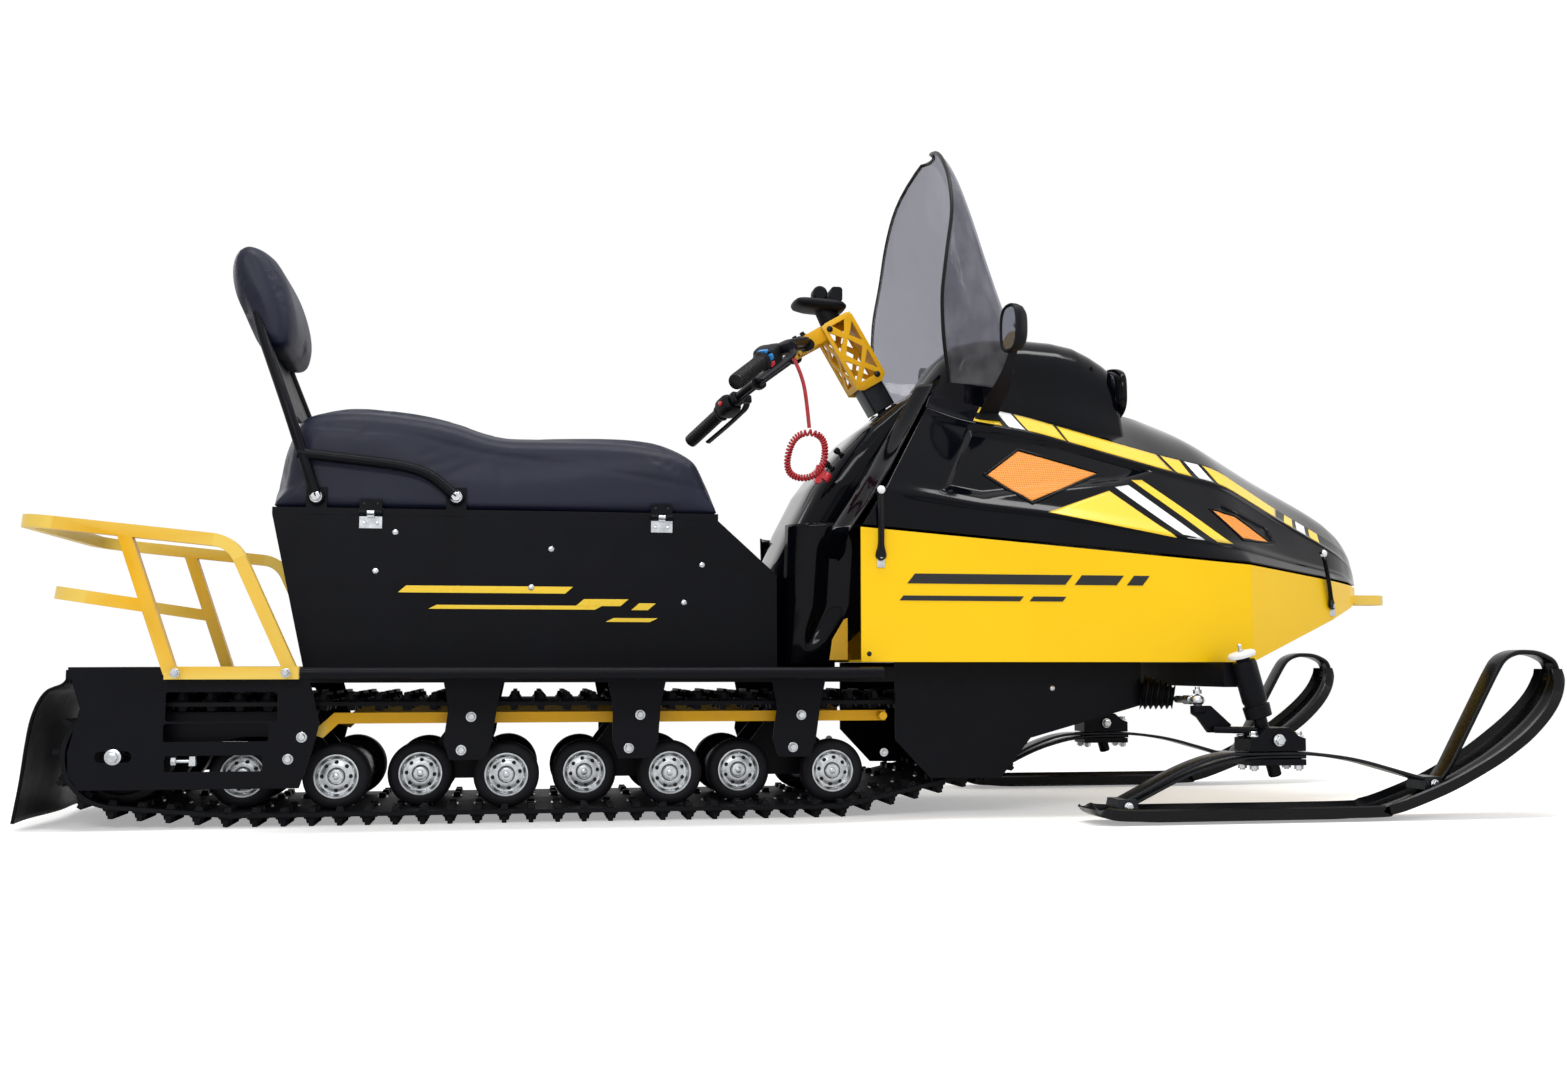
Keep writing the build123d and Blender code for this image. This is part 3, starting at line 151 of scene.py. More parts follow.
# Metals: zinc plate, dark blued spring steel and die-cast aluminium as it leaves the mould
zinc = finish("zinc_plated_steel", "c9ccd0", 0.3, 1.0, tone=0.25, tone_mm=18, smear=0.12, smear_mm=10)
spring_steel = finish("blued_spring_steel", "1d2024", 0.35, 0.7, tone=0.3, tone_mm=40, smear=0.1)
cast_aluminium = finish("cast_aluminium", "c6c9cc", 0.34, 1.0, grain_mm=1.2, grain_depth=0.16, tone=0.3,
                        tone_mm=14)
chrome = finish("polished_steel", "dfe2e6", 0.1, 1.0, tone=0.1, smear=0.04)
black_oxide = finish("black_oxide_steel", "202226", 0.4, 0.8, tone=0.25, tone_mm=20)
white_nylon = finish("white_nylon", "e9eaec", 0.4, tone=0.06)
# Upholstery vinyl: knitted-back sheet with an embossed leather grain
seat_vinyl = finish("seat_vinyl", "14172a", 0.5, grain_mm=2.2, grain_depth=0.16, tone=0.16, tone_mm=160,
                    smear=0.05, smear_mm=80, edge_mm=0.2, specular=0.26)
# Braided cord: dyed polyester cover
red_cord = finish("red_braided_cord", "b3242c", 0.6, grain_mm=1.5, grain_depth=0.4, tone=0.25,
                  tone_mm=6)
mirror_glass = finish("silvered_glass", "c9ced2", 0.03, 1.0, tone=0.02, smear=0.01)
white_film = finish("white_vinyl_film", "f4f5f6", 0.3, tone=0.04, coat=0.3)
yellow_film = finish("yellow_vinyl_film", "fbd22a", 0.3, tone=0.05, tone_mm=300, coat=0.3)
dark_film = finish("black_vinyl_film", "0c0c0e", 0.35, tone=0.05)
blue_button = finish("blue_switch_cap", "1f7fc4", 0.35, tone=0.05)
red_button = finish("red_switch_cap", "c02430", 0.35, tone=0.05)


def see_through(name, colour, rough, density, ior=1.49):
    """Clear moulded sheet: a tinted transparent body mixed with a glossy skin, whose share
    is the density plus or minus 0.06 of dust."""
    material, tree = new_material(name)
    place = put(tree, "TexCoord").outputs["Object"]
    dust = put(tree, "TexNoise", {"Vector": place, "Scale": 14.0, "Detail": 6.0})
    haze = put(tree, "MapRange", {"Value": dust.outputs[0], "From Min": 0.35, "From Max": 0.7,
                                            "To Min": density - 0.06, "To Max": density + 0.06})
    clear = put(tree, "BsdfTransparent", {"Color": linear(colour)})
    skin = put(tree, "BsdfPrincipled", {
        "Base Color": linear(colour), "Roughness": rough, "IOR": ior, "Coat Weight": 0.5})
    body = put(tree, "MixShader", {"Fac": haze.outputs[0], 1: clear.outputs[0], 2: skin.outputs[0]})
    put(tree, "OutputMaterial", {"Surface": body.outputs[0]})
    return material


# Screen: smoked polycarbonate. Lens: clear polycarbonate over polished reflector bowls
smoked_screen = see_through("smoked_polycarbonate", "c3c3c9", 0.05, 0.13, 1.58)
clear_lens = see_through("clear_polycarbonate", "cdd3da", 0.04, 0.3, 1.58)


def vent_mesh():
    """Orange pressed mesh: round holes 5 mm apart, from slightly shaken Voronoi cells, with painted
    shade in the holes: a darker orange.
    """
    material, tree = new_material("orange_pressed_mesh", stock=True)
    shader = tree.nodes["Principled BSDF"]
    place = put(tree, "TexCoord").outputs["Object"]
    flat = put(tree, "Mapping", {"Vector": place, "Scale": (1.0, 0.0, 1.0)})
    cells = put(tree, "TexVoronoi", {"Vector": flat.outputs[0], "Scale": 200.0, "Randomness": 0.15})
    rim = put(tree, "MapRange", {"Value": cells.outputs["Distance"], "From Min": 0.22,
                                 "From Max": 0.34})
    # The holes' darker orange is painted shade, standing in for the dark depth of each hole
    painted_hole_shade, wire = linear("c4701f"), linear("f59a36")
    paint = put(tree, "Mix", {"Factor": rim.outputs[0], 6: painted_hole_shade, 7: wire}, data_type="RGBA")
    relief = put(tree, "Bump", {"Height": rim.outputs[0], "Distance": 0.0006})
    tree.links.new(paint.outputs[2], shader.inputs["Base Color"])
    tree.links.new(relief.outputs[0], shader.inputs["Normal"])
    shader.inputs["Roughness"].default_value = 0.5
    return material


orange_mesh = vent_mesh()


# Shape tools: a shape is its points and its faces. All take and give millimetres
def column(*values):
    """Values of any broadcastable shapes as rows of X, Y, Z."""
    return np.stack([np.asarray(v, float) + np.zeros(np.broadcast(*values).shape) for v in values],
                    -1).reshape(-1, 3)


def quads(rows, columns, round_rows=False, round_columns=False):
    """Quads of a grid of points kept row by row; a closed direction joins its ends."""
    r = np.arange(rows if round_rows else rows - 1)[:, None]
    c = np.arange(columns if round_columns else columns - 1)[None, :]
    r2, c2 = (r + 1) % rows, (c + 1) % columns
    corners = [r * columns + c, r * columns + c2, r2 * columns + c2, r2 * columns + c]
    return np.stack(corners, -1).reshape(-1, 4).tolist()


def join(*shapes):
    """Several (points, faces) shapes as one."""
    points, faces, start = [], [], 0
    for p, f in shapes:
        points.append(np.asarray(p, float))
        faces += [[i + start for i in face] for face in f]
        start += len(p)
    return np.concatenate(points), faces


def other_side(shape):
    """The shape's mirror image in the middle plane: Y changes sign, faces turn round."""
    return np.asarray(shape[0], float) * (1, -1, 1), [face[::-1] for face in shape[1]]


def both(shape):
    """The shape with its mirror image."""
    return join(shape, other_side(shape))


def unit(rows):
    """Rows of X, Y, Z each divided by its length."""
    return rows / np.linalg.norm(rows, axis=1)[:, None]


def end_caps(rows, columns):
    """The first and the last row of a grid as two faces."""
    return [list(range(columns))[::-1], list(range((rows - 1) * columns, rows * columns))]


def turned(profile, centre, axis, sides=32):
    """Profile rows (along, radius) spun round an axis: centre + a along + r (u cos t + v sin t)."""
    along, radius = np.asarray(profile, float).T
    axis = np.asarray(axis, float) / np.linalg.norm(axis)
    u = np.cross(axis, (0, 0, 1) if abs(axis[2]) < 0.9 else (1, 0, 0))
    u /= np.linalg.norm(u)
    v = np.cross(axis, u)
    t = np.linspace(0, 2 * np.pi, sides, endpoint=False)
    ring = np.cos(t)[:, None] * u + np.sin(t)[:, None] * v
    points = np.asarray(centre) + along[:, None, None] * axis + radius[:, None, None] * ring
    return points.reshape(-1, 3), quads(len(along), sides, False, True)


def bend_line(points, radius, steps=8):
    """Route with each corner P turned into the curve (1-s)^2 A + 2 s (1-s) P + s^2 B."""
    p = np.asarray(points, float)
    s = np.linspace(0, 1, steps)[:, None]
    line = [p[:1]]
    for before, here, after in zip(p, p[1:], p[2:]):
        back, on = before - here, after - here
        reach = min(radius, np.linalg.norm(back) * 0.49, np.linalg.norm(on) * 0.49)
        a = here + back / np.linalg.norm(back) * reach
        b = here + on / np.linalg.norm(on) * reach
        line.append((1 - s) ** 2 * a + 2 * s * (1 - s) * here + s ** 2 * b)
    return np.concatenate(line + [p[-1:]])


def swept(path, section, up=(0, 1, 0), caps=True):
    """Closed section rows (side, rise) carried along a path: P + s side + r rise, where
    side is tangent x up and rise is side x tangent, both of unit length."""
    path = np.asarray(path, float)
    tangent = unit(np.gradient(path, axis=0))
    side = unit(np.cross(tangent, up))
    rise = np.cross(side, tangent)
    section = np.asarray(section, float)
    points = path[:, None] + section[None, :, :1] * side[:, None] + section[None, :, 1:] * rise[:, None]
    n, m = len(path), len(section)
    faces = quads(n, m, False, True)
    if caps:
        faces += end_caps(n, m)
    return points.reshape(-1, 3), faces


def ring(radius, sides=14, squash=1.0):
    """Round section: radius (cos t, squash sin t)."""
    t = np.linspace(0, 2 * np.pi, sides, endpoint=False)
    return np.stack([radius * np.cos(t), radius * squash * np.sin(t)], 1)


def rounded_box(wide, high, corner, steps=3):
    """Section of a box with round corners."""
    t = np.linspace(0, np.pi / 2, steps + 1)
    corners = [(wide / 2 - corner, high / 2 - corner, 0), (corner - wide / 2, high / 2 - corner, 1),
               (corner - wide / 2, corner - high / 2, 2), (wide / 2 - corner, corner - high / 2, 3)]
    return np.concatenate([np.stack([x + corner * np.cos(t + q * np.pi / 2),
                                     y + corner * np.sin(t + q * np.pi / 2)], 1)
                           for x, y, q in corners])


def points_of(mesh):
    """Points of a Blender mesh as rows of X, Y, Z, in its own metres."""
    flat = np.empty(len(mesh.vertices) * 3)
    mesh.vertices.foreach_get("co", flat)
    return flat.reshape(-1, 3)


def add_object(name, data):
    """Object for a mesh, curve, lamp or camera, linked to the scene."""
    made = bpy.data.objects.new(name, data)
    bpy.context.collection.objects.link(made)
    return made


def clean_mesh(name, shape):
    """Blender mesh from a shape, with doubles merged and faces turned outwards."""
    mesh = bpy.data.meshes.new(name)
    mesh.from_pydata((np.asarray(shape[0]) * MM).tolist(), [], shape[1])
    work = bmesh.new()
    work.from_mesh(mesh)
    bmesh.ops.remove_doubles(work, verts=work.verts, dist=1e-6)
    bmesh.ops.recalc_face_normals(work, faces=work.faces)
    work.to_mesh(mesh)
    work.free()
    return mesh


def piece(name, shape, material, body, slot, *stands_for, smooth=40.0, bevel=0.0, thick=0.0):
    """Object from a shape, shaded smooth up to an angle in degrees; stands_for names the
    CAD nodes that it replaces."""
    mesh = clean_mesh(name, shape)
    mesh.materials.append(material)
    made = add_object(name, mesh)
    mesh.shade_smooth()
    mesh.set_sharp_from_angle(angle=math.radians(smooth))
    if thick:
        made.modifiers.new("wall", "SOLIDIFY").thickness = thick * MM
    if bevel:
        edge = made.modifiers.new("edge", "BEVEL")
        edge.width, edge.segments, edge.limit_method = bevel * MM, 2, "ANGLE"
        edge.harden_normals = True
    if stands_for:
        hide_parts(*stands_for)
    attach(made, body)
    return made


def slab(outline, low, high):
    """Outline rows (X, Z) made solid between two Y places."""
    outline = np.asarray(outline, float)
    n = len(outline)
    points = np.concatenate([column(outline[:, 0], y, outline[:, 1]) for y in (low, high)])
    sides = [[i, (i + 1) % n, n + (i + 1) % n, n + i] for i in range(n)]
    return points, sides + end_caps(2, n)


def cut_plate(outlines, thick, origin, right, up, bevel=0.6):
    """Flat plate from closed outlines, the first the edge and the rest holes, laid on the
    plane origin + a right + b up and as thick as stated, to both sides of it."""
    curve = bpy.data.curves.new("outline", "CURVE")
    curve.dimensions, curve.fill_mode = "2D", "BOTH"
    curve.extrude, curve.bevel_depth, curve.bevel_resolution = max(thick / 2 - bevel, 0.01), bevel, 1
    curve.offset = -bevel
    for outline in outlines:
        spline = curve.splines.new("POLY")
        spline.points.add(len(outline) - 1)
        rows = np.array([(x, y, 0, 1) for x, y in outline], float)
        spline.points.foreach_set("co", rows.ravel())
        spline.use_cyclic_u = True
    holder = bpy.data.objects.new("outline", curve)
    mesh = bpy.data.meshes.new_from_object(holder)
    a, b, c = points_of(mesh).T
    faces = [list(p.vertices) for p in mesh.polygons]
    bpy.data.objects.remove(holder)
    bpy.data.curves.remove(curve)
    bpy.data.meshes.remove(mesh)
    right, up = np.asarray(right, float), np.asarray(up, float)
    out = np.cross(right, up)
    points = np.asarray(origin) + a[:, None] * right + b[:, None] * up + c[:, None] * out
    return points, faces


def bolt(centre, axis, across=13.0, head=8.0, washer=18.0):
    """Hexagon head on a washer: the head's corners lie on a circle of across / cos 30."""
    r = across / 2 / math.cos(math.pi / 6)
    disc = turned(((-0.5, 0), (-0.5, washer / 2), (1.4, washer / 2), (1.8, washer / 2 - 0.5), (1.8, 0)),
                  centre, axis, 20)
    cap = turned(((1.6, 0), (1.6, r), (head - 1.2, r), (head, r * 0.84), (head, 0)), centre, axis, 6)
    return join(disc, cap)


def button_head(centre, axis, radius=6.0, rise=3.2):
    """Domed rivet head: radius cos t against rise sin t."""
    t = np.linspace(0, np.pi / 2, 6)
    dome = [(rise * math.sin(a), radius * math.cos(a)) for a in t]
    return turned([(-0.6, 0), (-0.6, radius)] + dome, centre, axis, 18)


# Track and wheels
def loop_line(grow):
    """Tight loop round the four guide circles, each grown: rows of X and Z along straight
    tangents and arcs, its last row the first again."""
    wheels = [IDLER, (min(min(p) for p in BOGIES), WHEEL_Z, WHEEL_R),
              (max(max(p) for p in BOGIES), WHEEL_Z, WHEEL_R), SPROCKET]
    spots = []
    for (x0, z0, r0), (x1, z1, r1) in zip(wheels, wheels[1:] + wheels[:1]):
        run = math.hypot(x1 - x0, z1 - z0)
        lean = math.atan2(z1 - z0, x1 - x0) - math.acos((r0 - r1) / run)
        spots.append((x0, z0, r0 + grow, x1, z1, r1 + grow, lean))
    line = []
    for (x0, z0, a, x1, z1, b, lean), after in zip(spots, spots[1:] + spots[:1]):
        line.append((x0 + a * math.cos(lean), z0 + a * math.sin(lean)))
        stop = after[6] + (2 * math.pi if after[6] < lean else 0)
        for t in np.linspace(lean, stop, 24):
            line.append((x1 + b * math.cos(t), z1 + b * math.sin(t)))
    line = np.array(line + line[:1])
    gaps = np.hypot(*np.diff(line, axis=0).T)
    return line[np.concatenate([[True], gaps > 1e-6])]


def along_loop(line, count):
    """count points spaced evenly on a closed line, with their tangents and normals."""
    reach = np.concatenate([[0], np.cumsum(np.hypot(*np.diff(line, axis=0).T))])
    s = np.linspace(0, reach[-1], count, endpoint=False)
    spots = np.stack([np.interp(s, reach, line[:, i]) for i in (0, 1)], 1)
    ahead = np.stack([np.interp((s + 2) % reach[-1], reach, line[:, i]) for i in (0, 1)], 1)
    tangent = ahead - spots
    tangent /= np.hypot(*tangent.T)[:, None]
    normal = np.stack([tangent[:, 1], -tangent[:, 0]], 1)
    return spots, tangent, normal


# The belt's steps, and the lugs drawn on it, 52 mm apart. The CAD's own loop has 79, 50 mm apart
BELT_STEPS, LUG_TOTAL = 420, 76
belt_line = loop_line(BELT)
spots, tangent, normal = along_loop(belt_line, BELT_STEPS)
belt_section = np.array([(-TRACK_HALF, 0.0), (-TRACK_HALF, -BELT), (TRACK_HALF, -BELT),
                         (TRACK_HALF, 0.0)])
belt_points = np.stack([
    spots[:, None, 0] + normal[:, None, 0] * belt_section[None, :, 1],
    np.broadcast_to(belt_section[:, 0], (BELT_STEPS, 4)),
    spots[:, None, 1] + normal[:, None, 1] * belt_section[None, :, 1]], -1).reshape(-1, 3)
belt = belt_points, quads(BELT_STEPS, 4, True, True)
spots, tangent, normal = along_loop(belt_line, LUG_TOTAL)


def at_lugs(shape):
    """A small shape in (along, Y, out) set at every lug's place on the loop."""
    p = np.asarray(shape[0], float)
    x = spots[:, None, 0] + tangent[:, None, 0] * p[:, 0] + normal[:, None, 0] * p[:, 2]
    z = spots[:, None, 1] + tangent[:, None, 1] * p[:, 0] + normal[:, None, 1] * p[:, 2]
    y = np.broadcast_to(p[:, 1], x.shape)
    n = len(p)
    faces = [[i + k * n for i in face] for k in range(LUG_TOTAL) for face in shape[1]]
    return np.stack([x, y, z], -1).reshape(-1, 3), faces


def block(x0, x1, y0, y1, z0, z1, draft=0.0):
    """Eight-cornered block whose top is smaller by the draft on all four sides."""
    points = [(x, y, z0) for x, y in ((x0, y0), (x1, y0), (x1, y1), (x0, y1))]
    points += [(x, y, z1) for x, y in ((x0 + draft, y0 + draft), (x1 - draft, y0 + draft),
                                       (x1 - draft, y1 - draft), (x0 + draft, y1 - draft))]
    return np.array(points, float), [[3, 2, 1, 0], [4, 5, 6, 7], [0, 1, 5, 4], [1, 2, 6, 5],
                                     [2, 3, 7, 6], [3, 0, 4, 7]]


def paddle(y0, y1):
    """Lug with a broad foot, a thin standing blade and three buttresses."""
    parts = [block(-15, 15, y0, y1, -1, 4, 2.5), block(-6, 6, y0 + 3, y1 - 3, 0, LUG, 1.6)]
    for y in np.linspace(y0 + 12, y1 - 12, 3):
        parts.append(block(-12, 12, y - 4, y + 4, 0, LUG - 5, 3.0))
    return join(*parts)


lugs = at_lugs(join(paddle(-246, -118), paddle(-66, 66), paddle(118, 246)))
ribs = at_lugs(join(*[block(-8, 8, y - 12, y + 12, -BELT + 1, -BELT - 9, 2.0)
                      for y in (-225, -178, -92, 92, 178, 225)]))
piece("track_belt", join(belt, lugs, ribs), track_rubber, "frame", "track_rubber", "track", smooth=30)
clips = at_lugs(join(*[join(block(-11, 11, y - 9, y + 9, -1, 3.0, 1.0),
                            block(-11, 11, y - 9, y + 9, -BELT + 0.5, -BELT - 2.0, 1.0))
                       for y in (-92, 92)]))
piece("track_clips", clips, zinc, "frame", "zinc_steel", smooth=25)

tyre_profile = [(2, 43), (0.6, 47), (0.4, 52), (2.5, WHEEL_R - 6), (7, WHEEL_R - 1.6),
                (12, WHEEL_R - 0.2),
                (23, WHEEL_R), (25, WHEEL_R), (36, WHEEL_R - 0.2), (41, WHEEL_R - 1.6),
                (45.5, WHEEL_R - 6), (47.6, 52),
                (47.4, 47), (46, 43), (2, 43)]
hub_profile = [(3.5, 44), (3.0, 43), (3.2, 40), (5, 38.5), (9, 36.5), (12, 34), (12.6, 31), (11.5, 28),
               (9.5, 24), (9.5, 17), (16, 15), (24, 12), (27, 28), (24, 38), (42, 39), (45, 43),
               (44, 44),
               (3.5, 44)]
tyres, hubs, bolts_black, caps = [], [], [], []
for index, (x, face) in enumerate((x, f) for pair in BOGIES for x, f in zip(pair, WHEEL_FACES)):
    at = (x, -face, WHEEL_Z)
    tyres.append(turned(tyre_profile, at, (0, 1, 0), 56))
    hubs.append(turned(hub_profile, at, (0, 1, 0), 48))
    caps.append(turned(((7, 0), (3.0, 0), (3.0, 9), (4, 13), (7, 15.5), (17, 15.5), (17, 0)), at,
                       (0, 1, 0), 24))
    caps.append(turned(((1.2, 0), (1.2, 5), (2.0, 6.5), (4, 6.5)), at, (0, 1, 0), 6))
    for k in range(8):
        a = 0.5 * index + k * math.pi / 4
        spot = (x + 27 * math.cos(a), -face + 11, WHEEL_Z + 27 * math.sin(a))
        bolts_black.append(turned(((0, 0), (-1.0, 0), (-1.8, 3.0), (-1.0, 4.4), (2, 4.6), (2, 0)), spot,
                                  (0, 1, 0), 6))
        spot = (x + 35 * math.cos(a + 0.39), -face + 12, WHEEL_Z + 35 * math.sin(a + 0.39))
        hubs.append(turned(((0, 0), (-3.0, 0), (-3.0, 2.0), (0, 3.0)), spot, (0, 1, 0), 8))
piece("road_wheel_tyres", both(join(*tyres)), tyre_rubber, "frame", "tyre_rubber", "bogie_tyres",
      smooth=50)
piece("road_wheel_hubs", both(join(*hubs)), cast_aluminium, "frame", "cast_metal", "bogie_hubs",
      smooth=35)
piece("road_wheel_bolts", both(join(*bolts_black)), black_oxide, "frame", "zinc_steel", smooth=25)
piece("road_wheel_caps", both(join(*caps)), zinc, "frame", "zinc_steel", smooth=35)

# Idlers: a rim, a disc with five windows made as a cut plate, and a hub
idler_rim = [(-19, IDLER[2] - 3), (-18, IDLER[2] - 0.8), (18, IDLER[2] - 0.8), (19, IDLER[2] - 3),
             (19, 76), (17, 75),
             (-17, 75), (-19, 76), (-19, IDLER[2] - 3)]
holes = [[(50 * math.cos(a) + 15 * math.cos(t), 50 * math.sin(a) + 15 * math.sin(t))
          for t in np.linspace(0, 2 * math.pi, 16, endpoint=False)]
          for a in np.arange(5) * 2 * math.pi / 5]
idler_disc = [ring(80, 48).tolist(), ring(11, 20).tolist()] + holes
idler_parts = []
for y in (-190.0, 0.0, 190.0):
    at = (IDLER[0], y, IDLER[1])
    idler_parts += [turned(idler_rim, at, (0, 1, 0), 56),
                    cut_plate(idler_disc, 12, at, (1, 0, 0), (0, 0, 1)),
                    turned(((-23, 10), (-23, 22), (-20, 24), (20, 24), (23, 22), (23, 10)), at,
                           (0, 1, 0), 28)]
piece("rear_idlers", join(*idler_parts), grained_black, "frame", "black_plastic", "idler_wheels",
      smooth=40)
axle = turned(((-281, 0), (-281, 9), (-279, 10), (279, 10), (281, 9), (281, 0)),
              (IDLER[0], 0, IDLER[1]), (0, 1, 0), 24)
axle_end = bolt((IDLER[0], -279.5, IDLER[1]), (0, -1, 0), 19, 11, 30)
piece("idler_axle", join(axle, both(axle_end)), zinc, "frame", "zinc_steel")

# Hood stations: X, then half width and height of crease, band and shoulder, then the crown
HOOD_ROWS = np.array([
    (50, 352, 668, 240, 905, 195, 960, 975), (300, 350, 632, 236, 822, 188, 872, 884),
    (458, 348, 617, 238, 799, 190, 842, 880), (760, 345, 572, 235, 723, 195, 765, 884),
    (890, 322, 552, 226, 696, 190, 740, 838), (1050, 232, 530, 195, 618, 160, 653, 745),
    (1200, 148, 514, 132, 562, 110, 592, 668), (1262, 90, 505, 82, 540, 66, 572, 628),
    (1298, 46, 501, 42, 526, 34, 548, 574), (1308, 30, 499, 27, 515, 20, 528, 540)], float)
SEAM_ROWS = np.array([(56, 588), (889, 521), (1160, 500), (1320, 492)], float)
HALF_ROWS = np.array([(56, 360), (885, 360), (1163, 190), (1258, 100), (1308, 34)], float)
HOOD_REAR, HOOD_NOSE = 56, 1308


def smooth_column(x, rows, k):
    """Value of column k at x: straight between rows, averaged over 60 mm to round it, and
    over less near the nose."""
    spread = np.linspace(-1, 1, 7) * np.clip((HOOD_NOSE - x[..., None]) / 2, 4, 30)
    return np.interp(x[..., None] + spread, rows[:, 0], rows[:, k]).mean(-1)


def hood_half(x):
    """Half section at each x: foot, crease, band, shoulder and crown as Y and Z arrays."""
    y = [np.interp(x, HALF_ROWS[:, 0], HALF_ROWS[:, 1])] + [smooth_column(x, HOOD_ROWS, k)
                                                            for k in (1, 3, 5)]
    z = [np.interp(x, SEAM_ROWS[:, 0], SEAM_ROWS[:, 1])] + [smooth_column(x, HOOD_ROWS, k)
                                                            for k in (2, 4, 6, 7)]
    return np.stack(y + [np.zeros_like(x)], -1), np.stack(z, -1)


def inside(x, z, corners):
    """Depth in mm of (x, z) inside a convex outline given anticlockwise: the least
    distance to the edges' lines, negative outside."""
    corners = np.asarray(corners, float)
    depth = np.full(np.broadcast(x, z).shape, 1e9)
    for (x0, z0), (x1, z1) in zip(corners, np.roll(corners, -1, 0)):
        run = math.hypot(x1 - x0, z1 - z0)
        depth = np.minimum(depth, ((x1 - x0) * (z - z0) - (z1 - z0) * (x - x0)) / run)
    return depth


def ramp(depth, width):
    """0 outside, 1 beyond width, with the curve 3 t^2 - 2 t^3 between."""
    t = np.clip(depth / width, 0, 1)
    return t * t * (3 - 2 * t)


RECESS = ((229, 661), (457, 622), (640, 690), (800, 712), (541, 778), (315, 806))
SCOOP = ((846, 640), (930, 572), (1003, 566), (990, 606), (868, 652))


def hood_point(x, v):
    """Right side of the hood at X and share v of the half section from foot to crown."""
    y_rows, z_rows = hood_half(x)
    knots = np.array([0.0, 0.2, 0.62, 0.74, 1.0])
    y, z = np.zeros(np.shape(v)), np.zeros(np.shape(v))
    for k in range(4):
        share = np.clip((v - knots[k]) / (knots[k + 1] - knots[k]), 0, 1)
        here = (v >= knots[k]) & (v <= knots[k + 1])
        y = np.where(here, y_rows[..., k] * (1 - share) + y_rows[..., k + 1] * share, y)
        z = np.where(here, z_rows[..., k] * (1 - share) + z_rows[..., k + 1] * share, z)
    belly = np.clip((v - 0.74) / 0.26, 0, 1)
    z = z + 10 * np.sin(np.pi * belly)
    flare = 4.0 * np.exp(-((v - 0.2) / 0.03) ** 2) + 3.5 * np.exp(-((v - 0.62) / 0.02) ** 2)
    sink = 11 * ramp(inside(x, z, RECESS), 16) + 7 * ramp(inside(x, z, SCOOP), 10)
    fade = np.clip((x - 60) / 120, 0, 1) * np.clip((1280 - x) / 150, 0, 1)
    return y + (flare * fade) - sink, z


def seam_start(z):
    """X of the hood's rear edge at height z."""
    return 57.0 + (z - 582.0) / 1.604


# The rear edge slopes with its own height, so X is set again from Z until both agree
columns_v = np.unique(np.concatenate([np.linspace(0, 1, 84), [0.2, 0.62, 0.74]]))
u_grid, v_grid = np.meshgrid(np.linspace(0, 1, 190), columns_v, indexing="ij")
x_grid = HOOD_REAR + u_grid * (HOOD_NOSE - HOOD_REAR)
for _ in range(12):
    y_grid, z_grid = hood_point(x_grid, v_grid)
    x_grid = seam_start(z_grid) * (1 - u_grid) + HOOD_NOSE * u_grid
y_grid, z_grid = hood_point(x_grid, v_grid)
right_skin = column(x_grid, -y_grid, z_grid), quads(*x_grid.shape)
nose = np.stack([x_grid[-1], -y_grid[-1], z_grid[-1]], -1)
nose_all = np.concatenate([nose, nose[::-1][1:] * (1, -1, 1)])
nose_cap = nose_all, [list(range(len(nose_all)))]
hood_skin = join(both(right_skin), nose_cap)
piece("hood_shell", hood_skin, gloss_black, "hood", "black_gloss", "hood", smooth=24, thick=3.0)


def hood_y(x, z):
    """Half width of the hood's side at each (x, z), found by halving the share v 40 times."""
    low, high = np.zeros(np.shape(x)), np.full(np.shape(x), 0.999)
    for _ in range(40):
        mid = (low + high) / 2
        above = hood_point(x, mid)[1] > z
        low, high = np.where(above, low, mid), np.where(above, mid, high)
    return hood_point(x, (low + high) / 2)[0]


def film(corners, lift=0.7, across_steps=40, down_steps=12):
    """Film on the hood's side: a four-cornered patch of X and Z, mixed bilinearly and set
    on the surface plus a small lift. A three-cornered one repeats its last corner."""
    (ax, az), (bx, bz), (cx, cz), (dx, dz) = corners
    s, t = np.meshgrid(np.linspace(0, 1, across_steps), np.linspace(0, 1, down_steps), indexing="ij")
    x = (ax * (1 - s) + bx * s) * (1 - t) + (dx * (1 - s) + cx * s) * t
    z = (az * (1 - s) + bz * s) * (1 - t) + (dz * (1 - s) + cz * s) * t
    return column(x, -(hood_y(x, z) + lift), z), quads(across_steps, down_steps)


def band_film(top_start, top_stop, foot_stop, foot_start, lift=0.7):
    """Film on the hood's stripe band, between shares 0.63 and 0.735 of the half section."""
    s, t = np.meshgrid(np.linspace(0, 1, 30), np.linspace(0, 1, 8), indexing="ij")
    x = (top_start * (1 - s) + top_stop * s) * (1 - t) + (foot_start * (1 - s) + foot_stop * s) * t
    y, z = hood_point(x, 0.735 - 0.105 * t)
    return column(x, -(y + lift), z + 0.4), quads(30, 8)


